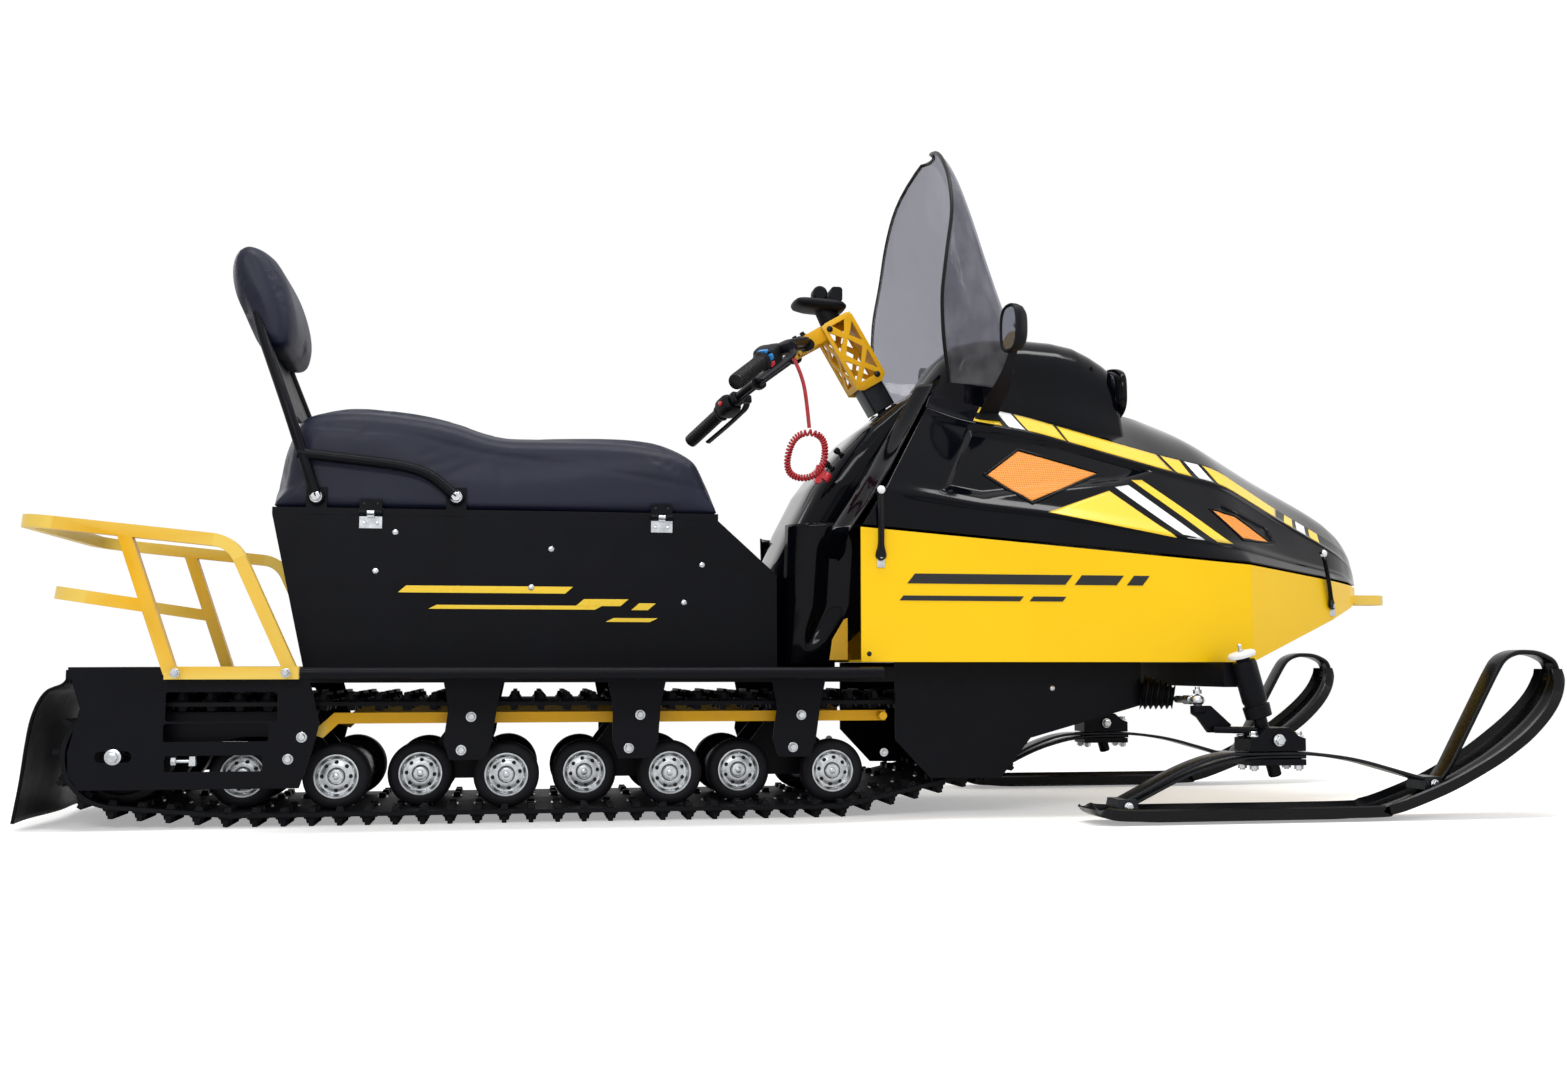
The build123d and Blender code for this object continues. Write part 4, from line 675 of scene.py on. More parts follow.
yellow_bands = [(356, 384, 392, 328), (431, 519, 533, 449), (527, 752, 775, 539), (762, 806, 820, 786),
                (861, 1048, 1030, 884), (1072, 1094, 1078, 1052), (1142, 1168, 1160, 1130)]
white_bands = [(391, 425, 443, 407), (818, 850, 871, 837), (1104, 1130, 1118, 1090)]
yellow_films = [band_film(*band) for band in yellow_bands]
yellow_films += [film(((450, 619), (603, 672), (729, 570), (729, 570)), down_steps=30),
                 film(((664, 699), (690, 700), (864, 561), (824, 564)))]
piece("hood_yellow_films", both(join(*yellow_films)), yellow_film, "hood", "yellow_panel", thick=0.4)
white_films = [band_film(*band)
               for band in white_bands] + [film(((620, 681), (653, 687), (793, 567), (753, 570)))]
piece("hood_white_films", both(join(*white_films)), white_film, "hood", "mirror_glass", thick=0.4)
vents = [film(((418, 756), (589, 712), (420, 643), (339, 700)), 1.2, 30, 30),
         film(((838, 637), (900, 625), (986, 573), (901, 576)), 1.2, 30, 20)]
piece("hood_vent_meshes", both(join(*vents)), orange_mesh, "hood", "yellow_panel", thick=0.8)


def rim_line(corners, lift, steps=14):
    """Closed line round corners given in X and Z, laid on the hood's side."""
    p = np.array(corners + corners[:1], float)
    s = np.linspace(0, 1, steps, endpoint=False)[:, None]
    flat = np.concatenate([a * (1 - s) + b * s for a, b in zip(p, p[1:])])
    y = hood_y(flat[:, 0], flat[:, 1]) + lift
    return column(flat[:, 0], -y, flat[:, 1])


def tube_rings(line, tangent, up, radius, sides=8):
    """Rings round a line: P + r (cos t side + sin t rise), where side is tangent x up and
    rise is side x tangent."""
    side = unit(np.cross(tangent, up))
    rise = np.cross(side, tangent)
    t = np.linspace(0, 2 * np.pi, sides, endpoint=False)[None, :, None]
    return (line[:, None] + radius * (np.cos(t) * side[:, None]
                                      + np.sin(t) * rise[:, None])).reshape(-1, 3)


def closed_tube(line, radius):
    """Round tube of eight sides along a closed line."""
    tangent = unit(np.roll(line, -1, 0) - np.roll(line, 1, 0))
    return tube_rings(line, tangent, (0, 1, 0), radius), quads(len(line), 8, True, True)


vent_rims = [closed_tube(rim_line([(418, 760), (597, 713), (420, 637), (331, 700)], 0.6), 2.6),
             closed_tube(rim_line([(835, 641), (901, 629), (994, 571), (898, 572)], 0.6), 2.2)]
piece("hood_vent_rims", both(join(*vent_rims)), gloss_black, "hood", "black_gloss", smooth=60)

# Headlight pod: sections across X, each a superellipse that flares where it meets the hood
POD_ROWS = np.array([(262, 92, 930), (300, 130, 985), (340, 150, 1022), (400, 158, 1037),
                     (489, 160, 1041),
                     (560, 159, 1037), (609, 157, 1028), (645, 154, 1012), (675, 151, 994),
                     (698, 148, 976)], float)


def pod_point(x, t):
    """Pod at X and turn t from right foot to left foot: half width w |cos t|^0.62 with a
    foot flare of 22 (1 - h)^4 and a shallow flute on each side, height foot + (top - foot) h,
    where h = sin(t)^0.72."""
    width, top = np.interp(x, POD_ROWS[:, 0],
                           POD_ROWS[:, 1]), np.interp(x, POD_ROWS[:, 0], POD_ROWS[:, 2])
    foot = np.interp(x, (262, 458, 720), (840, 800, 745))
    h = np.sin(t) ** 0.72
    w = width * np.abs(np.cos(t)) ** 0.62 * np.sign(np.cos(t))
    flute = 1 - 0.07 * np.exp(-((h - 0.5) / 0.2) ** 2) * np.clip((x - 380) / 80, 0, 1)
    flare = 22 * (1 - h) ** 4 * np.sign(np.cos(t))
    return -(w * flute + flare), foot + (top - foot) * h


POD_STEPS, BEZEL_STEPS, LENS_Z = 60, 72, 914
pod_x, pod_t = np.meshgrid(np.linspace(262, 698, POD_STEPS), np.linspace(0.0, np.pi, POD_STEPS),
                           indexing="ij")
pod_y, pod_z = pod_point(pod_x, pod_t)
pod_skin = column(pod_x, pod_y, pod_z), quads(POD_STEPS, POD_STEPS)
bezel_rows = np.array([(696, 1.0), (704, 1.005), (710, 0.99), (712, 0.95), (706, 0.9), (690, 0.86)])
bz_t = np.linspace(0, 2 * np.pi, BEZEL_STEPS, endpoint=False)
rim_y = 148 * np.sign(np.cos(bz_t)) * np.abs(np.cos(bz_t)) ** 0.55
rim_z = LENS_Z + 62 * np.sign(np.sin(bz_t)) * np.abs(np.sin(bz_t)) ** 0.6
bezel = column(bezel_rows[:, :1], bezel_rows[:, 1:] * rim_y,
               LENS_Z + bezel_rows[:, 1:] * (rim_z - LENS_Z))
piece("headlight_pod_shell", join(pod_skin, (bezel, quads(6, BEZEL_STEPS, False, True))), gloss_black,
      "hood", "black_gloss",
      "headlight_pod", smooth=50, thick=3.0)
bulge = np.linspace(0, 1, 10)[:, None]
glass = column(692 + 24 * np.sqrt(1 - (bulge * 0.98) ** 2), 0.88 * bulge * rim_y,
               LENS_Z + 0.88 * bulge * (rim_z - LENS_Z))
piece("headlight_glass", (glass, quads(10, BEZEL_STEPS, False, True)), clear_lens, "hood", "clear_lens",
      "headlight_lens", smooth=60,
      thick=2.0)
bowls = []
for y in (-62.0, 62.0):
    for profile, sides in ((((686, 50), (682, 50), (666, 43), (650, 26), (642, 8), (642, 0)), 36),
                           (((642, 0), (642, 9), (668, 9), (676, 6), (678, 0)), 20)):
        bowls.append(turned(profile, (0, y, LENS_Z), (1, 0, 0), sides))
bowl_back = slab([(640, 860), (640, 970), (636, 970), (636, 860)], -124, 124)
piece("headlight_bowls", join(*bowls), chrome, "hood", "zinc_steel", smooth=50)
piece("headlight_backing", bowl_back, gloss_black, "hood", "black_gloss")

# Windshield: a bent smoked sheet, narrow at the crown, with a rubber edge
# Its stations: height, then X of the edge, half width and X of the middle
SCREEN_ROWS = np.array([(905, 283, 215, 514), (985, 252, 280, 492), (1070, 238, 318, 464),
                        (1160, 246, 332, 422),
                        (1250, 262, 322, 382), (1330, 266, 286, 350), (1400, 270, 212, 328),
                        (1440, 280, 130, 316),
                        (1466, 296, 24, 308)], float)


def screen_point(z, s):
    """Screen at height z and share s from -1 at the right edge to 1 at the left: Y = half
    sin(a s) / sin(a), X = middle - (middle - edge) (1 - cos(a s)) / (1 - cos a)."""
    near = np.linspace(-24, 24, 7) * np.clip((SCREEN_ROWS[-1, 0] - z[..., None]) / 30, 0.15, 1)
    edge, half, middle = (np.interp(z[..., None] + near, SCREEN_ROWS[:, 0], SCREEN_ROWS[:, k]).mean(-1)
                          for k in (1, 2, 3))
    a = 1.25
    x = middle - (middle - edge) * (1 - np.cos(a * s)) / (1 - math.cos(a))
    return x, half * np.sin(a * s) / math.sin(a)


zz, ss = np.meshgrid(np.linspace(905, 1462, 70), np.linspace(-1, 1, 61), indexing="ij")
sx, sy = screen_point(zz, ss)
for _ in range(3):
    sx[1:-1] = (sx[:-2] + sx[1:-1] * 2 + sx[2:]) / 4
    sy[1:-1] = (sy[:-2] + sy[1:-1] * 2 + sy[2:]) / 4
piece("windshield_sheet", (column(sx, sy, zz), quads(70, 61)), smoked_screen, "hood", "smoked_screen",
      "windshield", smooth=70, thick=4.0)
sheet = np.stack([sx, sy, zz], -1)
edge_line = np.concatenate([sheet[:, 0], sheet[-1, 1:-1], sheet[::-1, -1]])[::2]
piece("windshield_edging", swept(edge_line, ring(4.2, 8), (0.3, 0.05, 0)), strap_rubber, "hood",
      "strap_rubber", smooth=60)

# Mirrors: a rounded shell on a flat stalk, with the glass facing rearwards
def egg(wide, high, power, count=48):
    """Superellipse outline: wide |cos t|^power, high |sin t|^power, with their signs."""
    t = np.linspace(0, 2 * np.pi, count, endpoint=False)
    return np.stack([wide * np.sign(np.cos(t)) * np.abs(np.cos(t)) ** power,
                     high * np.sign(np.sin(t)) * np.abs(np.sin(t)) ** power], 1)


def shell(rows, outline, centre):
    """Closed shell along X: the outline scaled by each row's (x, share)."""
    rows, centre = np.asarray(rows, float), np.asarray(centre, float)
    points = column(rows[:, :1], rows[:, 1:] * outline[:, 0], rows[:, 1:] * outline[:, 1])
    return points + centre, quads(len(rows), len(outline), False, True)


def turn_out(shape, angle=math.radians(8)):
    """The shape turned about the upright line through the mirror's middle, so that its
    glass looks back and out."""
    p = shape[0] - mirror_centre
    c, s = math.cos(angle), math.sin(angle)
    rows = np.stack([p[:, 0] * c - p[:, 1] * s, p[:, 0] * s + p[:, 1] * c, p[:, 2]], 1)
    return rows + mirror_centre, shape[1]


mirror_centre = (386, -346, 998)
mirror_outline = egg(38, 50, 0.72)
mirror_shell = shell(((-14, 0.0), (-14, 0.88), (-17, 0.9), (-18, 0.96), (-16, 1.0), (-6, 1.0),
                      (6, 0.93), (13, 0.78), (17, 0.5), (18, 0.0)),
                     mirror_outline, mirror_centre)
arm_line = bend_line(((388, -346, 975), (378, -300, 900), (366, -216, 838)), 40, 10)
arm_wide = np.linspace(16, 44, len(arm_line))
arm_across = rounded_box(10, 1, 0.45)
arm_deep = arm_across[None, :, :1] * np.array((0, -0.94, 0.34))
arm_long = (arm_wide[:, None] * arm_across[None, :, 1])[..., None] * np.array((1, 0, 0))
arm_points = arm_line[:, None] + arm_deep + arm_long
stalk = arm_points.reshape(-1, 3), quads(len(arm_line), len(arm_across), False, True)
stalk_foot = block(334, 392, -228, -200, 826, 842, 5)
piece("mirror_shells", both(join(turn_out(mirror_shell), stalk, stalk_foot)), grained_black, "hood",
      "black_plastic", "mirrors", smooth=45)
mirror_sheet = shell(((-14.8, 0.0), (-14.8, 0.86), (-14.2, 0.87)), mirror_outline, mirror_centre)
piece("mirror_sheets", both(turn_out(mirror_sheet)), mirror_glass, "hood", "mirror_glass",
      "mirror_glasses", smooth=30)

# Rubber latches: a strap with a T head on a peg, stretched over the seam to a hook
def cowl_half(x):
    """Half width of the body at X."""
    return np.interp(x, HALF_ROWS[:, 0], HALF_ROWS[:, 1])


def latch(head_x, foot_x, high, low):
    """Strap whose half width goes from head to waist to eye, bowed out by 4 mm, with a
    cord along its middle."""
    z = np.linspace(high, low, 26)
    s = (z - high) / (low - high)
    half = 6.5 + 6 * np.exp(-((s - 0.04) / 0.07) ** 2) + 5 * np.exp(-((s - 0.93) / 0.09) ** 2)
    half[[0, -1]] = 4
    x = head_x + (foot_x - head_x) * s
    y = -(cowl_half(x) + 2.5 + 4 * np.sin(np.pi * s))
    outline = [(-half, 0 * s), (half, 0 * s), (half * 0.7, 6 + 0 * s), (-half * 0.7, 6 + 0 * s)]
    slope = (cowl_half(x + 5) - cowl_half(x - 5)) / 10
    points = np.stack([np.stack([x + a, y - b - slope * a, z], -1) for a, b in outline], 1)
    faces = quads(26, 4, False, True) + end_caps(26, 4)
    groove = np.stack([x[4:-4], y[4:-4] - 7.4, z[4:-4]], -1)
    return join((points.reshape(-1, 3), faces), swept(groove, ring(2.0, 8), (1, 0, 0)))


latches, heads, pegs, hooks = [], [], [], []
for head_x, x, high, low in ((96, 96, 664, 515), (1128, 1158, 560, 430)):
    latches.append(latch(head_x, x, high, low))
    heads.append(button_head((head_x, -cowl_half(head_x) - 8, high - 8), (0, -1, 0), 8.5, 6))
    pegs.append(turned(((0, 0), (0, 6), (8, 6), (10, 4), (10, 0)), (x, -cowl_half(x) + 1, low + 8),
                       (0, -1, 0), 16))
    hooks.append(block(x - 8, x + 8, -cowl_half(x) - 3, -cowl_half(x), low - 14, low + 14, 1))
piece("hood_latch_straps", both(join(*latches)), strap_rubber, "hood", "strap_rubber", "hood_latches",
      smooth=35)
piece("hood_latch_pegs", both(join(*heads)), white_nylon, "hood", "zinc_steel")
piece("cowl_latch_hooks", both(join(*pegs, *hooks)), zinc, "frame", "zinc_steel")

# Seat cushion and backrest pad
def side_grid(outline, half, rounding, across_steps=34, foot=-1e4):
    """Closed bolster from a side outline (X, Z): each point of the outline is drawn in
    along its normal by rounding (1 - sqrt(1 - s^6)) as the share s of the width nears
    1, and less within 60 mm of a flat foot."""
    outline = np.asarray(outline, float)
    ahead = np.roll(outline, -4, 0) - np.roll(outline, 4, 0)
    normal = np.stack([ahead[:, 1], -ahead[:, 0]], 1) / np.linalg.norm(ahead, axis=1)[:, None]
    normal *= np.sign((normal * (outline - outline.mean(0))).sum())
    s = np.linspace(-1, 1, across_steps)
    pull = rounding * (1 - np.sqrt(np.clip(1 - np.abs(s) ** 6, 0, 1)))
    share = np.clip((outline[:, 1] - foot) / 60, 0, 1)
    points = outline[None] - pull[:, None, None] * (normal * share[:, None])[None]
    n = len(outline)
    grid = np.stack([points[..., 0], np.broadcast_to(s[:, None] * half, points.shape[:2]),
                     points[..., 1]], -1)
    caps = [face[::-1] for face in end_caps(across_steps, n)]
    return grid.reshape(-1, 3), quads(across_steps, n, False, True) + caps


def spline(points, count, closed=False):
    """Smooth line through points, cubic Hermite with slopes (next - before) / 2."""
    p = np.asarray(points, float)
    if closed:
        before, after = np.roll(p, 1, 0), np.roll(p, -1, 0)
        slope = (after - before) / 2
        p, slope = np.concatenate([p, p[:1]]), np.concatenate([slope, slope[:1]])
    else:
        slope = np.gradient(p, axis=0)
    u = np.linspace(0, len(p) - 1, count, endpoint=not closed)
    k = np.minimum(u.astype(int), len(p) - 2)
    t = (u - k)[:, None]
    return ((2 * t ** 3 - 3 * t ** 2 + 1) * p[k] + (t ** 3 - 2 * t ** 2 + t) * slope[k]
            + (3 * t ** 2 - 2 * t ** 3) * p[k + 1] + (t ** 3 - t ** 2) * slope[k + 1])


def shown_mesh(made):
    """New mesh from an object with its modifiers applied."""
    graph = bpy.context.evaluated_depsgraph_get()
    return bpy.data.meshes.new_from_object(made.evaluated_get(graph))


def puffed(name, shape, voxel, pressure, cap, locked):
    """Padded piece: voxel remesh, 20 frames of cloth under pressure, each point's move
    held to the cap, then the result kept as the mesh. locked(points) is the pinned share."""
    mesh = clean_mesh(name, shape)
    made = add_object(name, mesh)
    remesh = made.modifiers.new("voxels", "REMESH")
    remesh.mode, remesh.voxel_size = "VOXEL", voxel * MM
    settled = shown_mesh(made)
    made.modifiers.clear()
    made.data = settled
    bpy.data.meshes.remove(mesh)
    start = points_of(settled)
    group = made.vertex_groups.new(name="held")
    group.add(np.flatnonzero(locked(start / MM) > 0.5).tolist(), 1.0, "REPLACE")
    cloth = made.modifiers.new("swell", "CLOTH")
    cloth.settings.use_pressure, cloth.settings.uniform_pressure_force = True, pressure
    cloth.settings.effector_weights.gravity = 0.0
    cloth.settings.vertex_group_mass = "held"
    cloth.settings.quality = 6
    cloth.point_cache.frame_end = 20
    for step in range(1, 21):
        bpy.context.scene.frame_set(step)
    result = shown_mesh(made)
    move = points_of(result) - start
    bpy.data.meshes.remove(result)
    made.modifiers.clear()
    bpy.context.scene.frame_set(1)
    size = np.linalg.norm(move, axis=1)[:, None]
    move *= np.minimum(1, cap * MM / np.maximum(size, 1e-9))
    settled.vertices.foreach_set("co", (start + move).ravel())
    return made


def dress(made, shaped, material, body, slot, fill, *stands_for):
    mesh = made.data
    mesh.vertices.foreach_set("co", (shaped(points_of(mesh) / MM) * MM).ravel())
    mesh.update()
    mesh.materials.clear()
    mesh.materials.append(material)
    mesh.shade_smooth()
    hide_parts(*stands_for)
    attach(made, body)


SEAT_FOOT = 620.0
seat_top = spline([(-1093, 621), (-1088, 655), (-1080, 710), (-1070, 770), (-1058, 799), (-1034, 816),
                   (-995, 824), (-954, 827), (-900, 826),
                (-853, 822), (-795, 814), (-736, 801), (-695, 787), (-660, 779), (-620, 776),
                (-520, 777), (-440, 777), (-379, 774),
                (-330, 767), (-285, 756), (-252, 739), (-237, 718), (-225, 682), (-214, 645),
                (-209, 621)], 90)
seat_bottom = np.stack([np.linspace(-209, -1093, 40)[1:-1], np.full(38, 621.0)], 1)
cushion = puffed("seat_cushion_pad", side_grid(np.concatenate([seat_top, seat_bottom]), SEAT_HALF - 6,
                                               26, foot=621), 6.0, 4.0, 6.0,
                 lambda p: (p[:, 2] < SEAT_FOOT + 8).astype(float))


def groove(distance, width, depth):
    """Sewn channel: depth exp(-(d / width)^2)."""
    return depth * np.exp(-(distance / width) ** 2)


def seat_seams(p):
    """Side seam: a line that falls from under the passenger's end to the front, sunk by
    1.6 mm; the foot is flat at the base."""
    p = p.copy()
    seam = np.interp(p[:, 0], (-1050, -1020, -852, -701, -569, -414, -242),
                     (790, 786, 774, 740, 722, 702, 673))
    side = np.abs(p[:, 1]) > SEAT_HALF - 30
    p[:, 1] -= np.sign(p[:, 1]) * groove(p[:, 2] - seam, 4.0, 1.6) * side
    p[:, 1] = np.clip(p[:, 1], -SEAT_HALF, SEAT_HALF)
    p[:, 2] = np.maximum(p[:, 2], 619.4)
    return p


dress(cushion, seat_seams, seat_vinyl, "seat", "seat_vinyl", 0.9, "seat_cushion")

pad_outline = spline([(-1160, 1161), (-1184, 1149), (-1195, 1117), (-1185, 1064), (-1167, 1022),
                      (-1150, 984), (-1137, 960), (-1114, 944),
                      (-1090, 942), (-1073, 957), (-1070, 1000), (-1080, 1052), (-1100, 1104),
                      (-1128, 1146)], 90, True)
back_pad = puffed("backrest_pad_cover", side_grid(pad_outline, 164, 26, 40), 5.0, 4.0, 5.0,
                  lambda p: np.zeros(len(p)))


def pad_seams(p):
    """Welt line round the pad's rim: sunk 1.6 mm along the plane halfway through its depth."""
    p = p.copy()
    near_edge = np.abs(p[:, 1]) > 130
    line = (p[:, 0] + 1116) + (p[:, 2] - 1030) * 0.46
    p[:, 1] -= np.sign(p[:, 1]) * groove(line, 3.5, 1.6) * near_edge
    return p


dress(back_pad, pad_seams, seat_vinyl, "seat", "seat_vinyl", 0.8, "backrest_pad")

# Backrest tubes
back_bars, back_feet, back_bolts = [], [], []
for route in (((-1010, 200.3, 640), (-1068, 200.3, 816), (-1124, 158, 962), (-1140, 146, 1016)),
              ((-1047, 200.3, 726), (-852, 200.3, 706), (-793, 200.3, 691), (-739, 200.3, 644))):
    line = bend_line([(x, -y, z) for x, y, z in route], 60, 12)
    back_bars.append(swept(line, ring(11, 16)))
for x, z in ((-1010, 640), (-739, 644)):
    back_feet.append(turned(((-0.2, 0), (-0.2, 15), (1, 16), (9, 16), (11, 14), (12, 0)),
                            (x, -190.2, z), (0, -1, 0), 28))
    back_bolts.append(bolt((x, -202, z), (0, -1, 0), 17, 9, 24))
crossbar = swept(np.array([(-1140, y, 1020) for y in np.linspace(-150, 150, 12)], float), ring(10, 16),
                 (0, 0, 1))
piece("backrest_tubes", join(both(join(*back_bars, *back_feet)), crossbar), black_coat, "seat",
      "black_powder", "backrest_frame", smooth=50)
apron = slab([(-1071, 812), (-1127, 958), (-1121, 960), (-1064, 814)], -168, 168)
piece("backrest_apron", apron, grained_black, "seat", "seat_vinyl")
piece("backrest_bolts", both(join(*back_bolts)), zinc, "seat", "zinc_steel")

# Skis and front suspension
KING_UP = np.array((-math.sin(KING_TILT), 0, math.cos(KING_TILT)))


def king_spot(s, side):
    """Point s up the spindle's axis from its top."""
    return np.array((KING_TOP[0], side * STANCE, KING_TOP[1])) + s * KING_UP


keel = spline([(482, 30), (500, 17), (540, 9), (700, 8), (1050, 8), (1100, 14), (1150, 28), (1235, 60),
               (1320, 102), (1370, 132),
                   (1420, 168), (1462, 206), (1490, 242), (1504, 276), (1505, 300)], 100)
loop_top = bend_line([(1503, 292), (1496, 316), (1462, 333), (1414, 335), (1382, 322), (1362, 292),
                      (1250, 100), (1232, 78)], 30, 8)


for name, side in (("right", -1), ("left", 1)):
    foot = side * STANCE
    body = f"ski_body_{name}"
    t = np.linspace(0, 1, len(keel))
    half = 62 * np.clip(0.72 + 2.2 * t, 0, 1) * (1 - 0.52 * (np.clip(t - 0.68, 0, 1) / 0.32) ** 1.2)
    across_share = np.array([-1, -1, -0.93, -0.82, -0.3, -0.16, 0, 0.16, 0.3, 0.82, 0.93, 1, 1])
    rise_rows = np.array([2, 20, 23, 8, 5, 9, 10, 9, 5, 8, 23, 20, 2], float)
    slope = unit(np.gradient(keel, axis=0))
    out = np.stack([-slope[:, 1], slope[:, 0]], 1)
    rise = rise_rows * np.clip(t * 12, 0.25, 1)[:, None]
    upper = np.stack([keel[:, None, 0] + out[:, None, 0] * rise, foot + half[:, None] * across_share,
                      keel[:, None, 1] + out[:, None, 1] * rise], -1)
    lower = np.stack([keel[:, None, 0] + 0 * across_share, foot + half[:, None] * across_share,
                      keel[:, None, 1] + 0 * across_share], -1)
    section = np.concatenate([upper, lower[:, 1:-1][:, ::-1]], 1)
    n, m = section.shape[:2]
    shell_faces = quads(n, m, False, True) + end_caps(n, m)
    runner = swept(column(np.linspace(560, 1080, 40), foot,
                          4 + 6 * np.abs(np.linspace(-1, 1, 40)) ** 6),
                   rounded_box(10, 9, 3), (0, 1, 0))
    loop = swept(column(loop_top[:, 0], foot, loop_top[:, 1]), rounded_box(10, 46, 4))
    piece(f"ski_shell_{name}", join((section.reshape(-1, 3), shell_faces), loop), ski_black, body,
          "ski_plastic",
          f"ski_{name}", smooth=45)
    piece(f"ski_runner_{name}", runner, zinc, body, "zinc_steel")
    leaf = bend_line([(540, 36), (684, 108), (760, 132), (935, 134), (1043, 120), (1130, 96),
                      (1216, 72)], 90, 12)
    leaf_low = bend_line([(566, 36), (692, 97), (780, 121), (846, 126), (935, 126)], 60, 12)
    strips = [swept(column(line[:, 0], foot, line[:, 1]), rounded_box(7, wide, 2))
              for line, wide in ((leaf, 56), (leaf_low, 50))]
    saddles = [block(x - 22, x + 22, foot - 34, foot + 34, z, z + 26, 4) for x,
               z in ((556, 22), (1206, 58))]
    piece(f"leaf_spring_strips_{name}", join(*strips, *saddles), spring_steel, body, "spring_steel",
          f"leaf_spring_{name}", smooth=35, bevel=0.6)
    tube = turned(((-172, 0), (-172, 14), (-126, 14), (-124, 26), (-100, 27), (-98, 14), (-2, 14),
                   (-2, 24), (0, 24), (0, 0)), king_spot(0, side), KING_UP, 36)
    shank = turned(((-246, 0), (-246, 10), (-243, 13), (-216, 13), (-216, 0)), king_spot(0, side),
                   KING_UP, 28)
    clamp_top = slab([(812, 138), (929, 138), (929, 163), (914, 168), (896, 184), (846, 184),
                      (830, 168), (812, 163)], foot - 36, foot + 36)
    clamp_low = slab([(812, 110), (929, 110), (929, 122), (812, 122)], foot - 36, foot + 36)
    arm_route = np.array([(846, foot, 178), (812, foot - side * 20, 178), (780, side * 402, 178)],
                         float)
    web = slab([(762, 172), (806, 172), (811, 188), (768, 226), (728, 226), (728, 210), (740, 202)],
               side * 400 - 6, side * 400 + 6)
    arm = join(swept(arm_route, rounded_box(13, 38, 4), (0, 1, 0)), web)
    arm_eye = turned(((-15, 0), (-15, 13), (-13, 15), (0, 15), (0, 0)), (742, side * 400, 226),
                     (0, 0, 1), 28)
    piece(f"spindle_body_{name}", join(tube, shank, clamp_top, clamp_low, arm, arm_eye), black_coat,
          body, "black_powder", f"spindle_{name}",
          smooth=35, bevel=1.0)
    cap = turned(((-2, 0), (-2, 26), (2, 28), (7, 27), (10, 22), (10, 0)), king_spot(1, side), KING_UP,
                 36)
    piece(f"spindle_washer_{name}", cap, white_nylon, body, "zinc_steel", smooth=50)
    nipple = turned(((8, 0), (8, 5.5), (14, 5.5), (15, 3.2), (21, 3.2), (22, 4.4), (24, 4.0), (26, 2),
                     (26, 0)), king_spot(1, side), KING_UP, 16)
    studs = [bolt((x, foot + y, 167), (0, 0, 1), 14, 10, 22) for x in (823, 918) for y in (-25, 25)]
    nuts = [turned(((0, 0), (0, 9), (-8, 9), (-8, 5), (-11, 5), (-11, 0)), (x, foot + y, 110),
                   (0, 0, 1), 6)
            for x in (823, 918) for y in (-25, 25)]
    pivot = bolt((870, foot - 40, 160), (0, -1, 0), 17, 10, 24)
    ends = [bolt((x, foot - 35, z), (0, -1, 0), 13, 8, 18) for x, z in ((556, 34), (1206, 70))]
    piece(f"ski_bolts_{name}", join(nipple, *studs, *nuts, pivot, *ends), zinc, body, "zinc_steel",
          smooth=30)
    # Tie rod: ball joint on the arm, threaded end, rod and rubber bellows towards the body
    joint_at = (742, side * 400, 237)
    ball = turned([(-12, 0), (-12, 8)] + [(11 * math.sin(a), 14 * math.cos(a))
                                          for a in np.linspace(-0.9, 1.1, 10)] + [(14, 0)], joint_at,
                                          (0, 0, 1), 28)
    nut = turned(((13, 0), (13, 8.6), (21, 8.6), (21, 5), (27, 5), (27, 0)), joint_at, (0, 0, 1), 6)
    rod = swept(column(742, side * np.linspace(388, 301, 10), 237), ring(7.5, 16), (0, 0, 1))
    sleeve = swept(column(742, side * np.linspace(374, 344, 4), 237), ring(10.5, 6), (0, 0, 1))
    piece(f"tie_rod_links_{name}", join(ball, nut, rod, sleeve), zinc, f"rod_body_{name}", "zinc_steel",
          f"tie_rod_{name}", smooth=40)
    housing = turned(((-94, 16), (-94, 23), (-89, 24.5), (-16, 24.5), (-10, 23), (-9, 16)),
                     king_spot(0, side), KING_UP, 36)
    piece(f"spindle_housing_{name}", housing, black_coat, "frame", "black_powder", smooth=40)
    t = np.linspace(0, 1, 46)
    fold = 22 + 4 * np.cos(t * 2 * np.pi * 6) + 12 * (1 - t)
    bellows = turned(np.stack([t * 66, fold], 1).tolist() + [(66, 9), (0, 9)], (682, side * 262, 252),
                     (0.45, side * 0.2, -0.08), 28)
    piece(f"steering_bellows_{name}", bellows, strap_rubber, "frame", "strap_rubber", smooth=50)
    inner = swept(np.array([(690, side * 240, 250), (640, side * 200, 256)], float), ring(20, 16),
                  (0, 0, 1))
    piece(f"steering_rack_boot_{name}", inner, grained_black, "frame", "black_plastic", smooth=50)

# Handlebar group
COLUMN_UP = np.array((-math.sin(COLUMN_TILT), 0, math.cos(COLUMN_TILT)))
COLUMN_BACK = np.array((-math.cos(COLUMN_TILT), 0, -math.sin(COLUMN_TILT)))


def column_spot(s, back=0.0, y=0.0):
    """Point s up the column's axis, moved back from it and to the left."""
    return np.array((COLUMN_AT[0], 0,
                     COLUMN_AT[1])) + s * COLUMN_UP + back * COLUMN_BACK + np.array((0, y, 0))


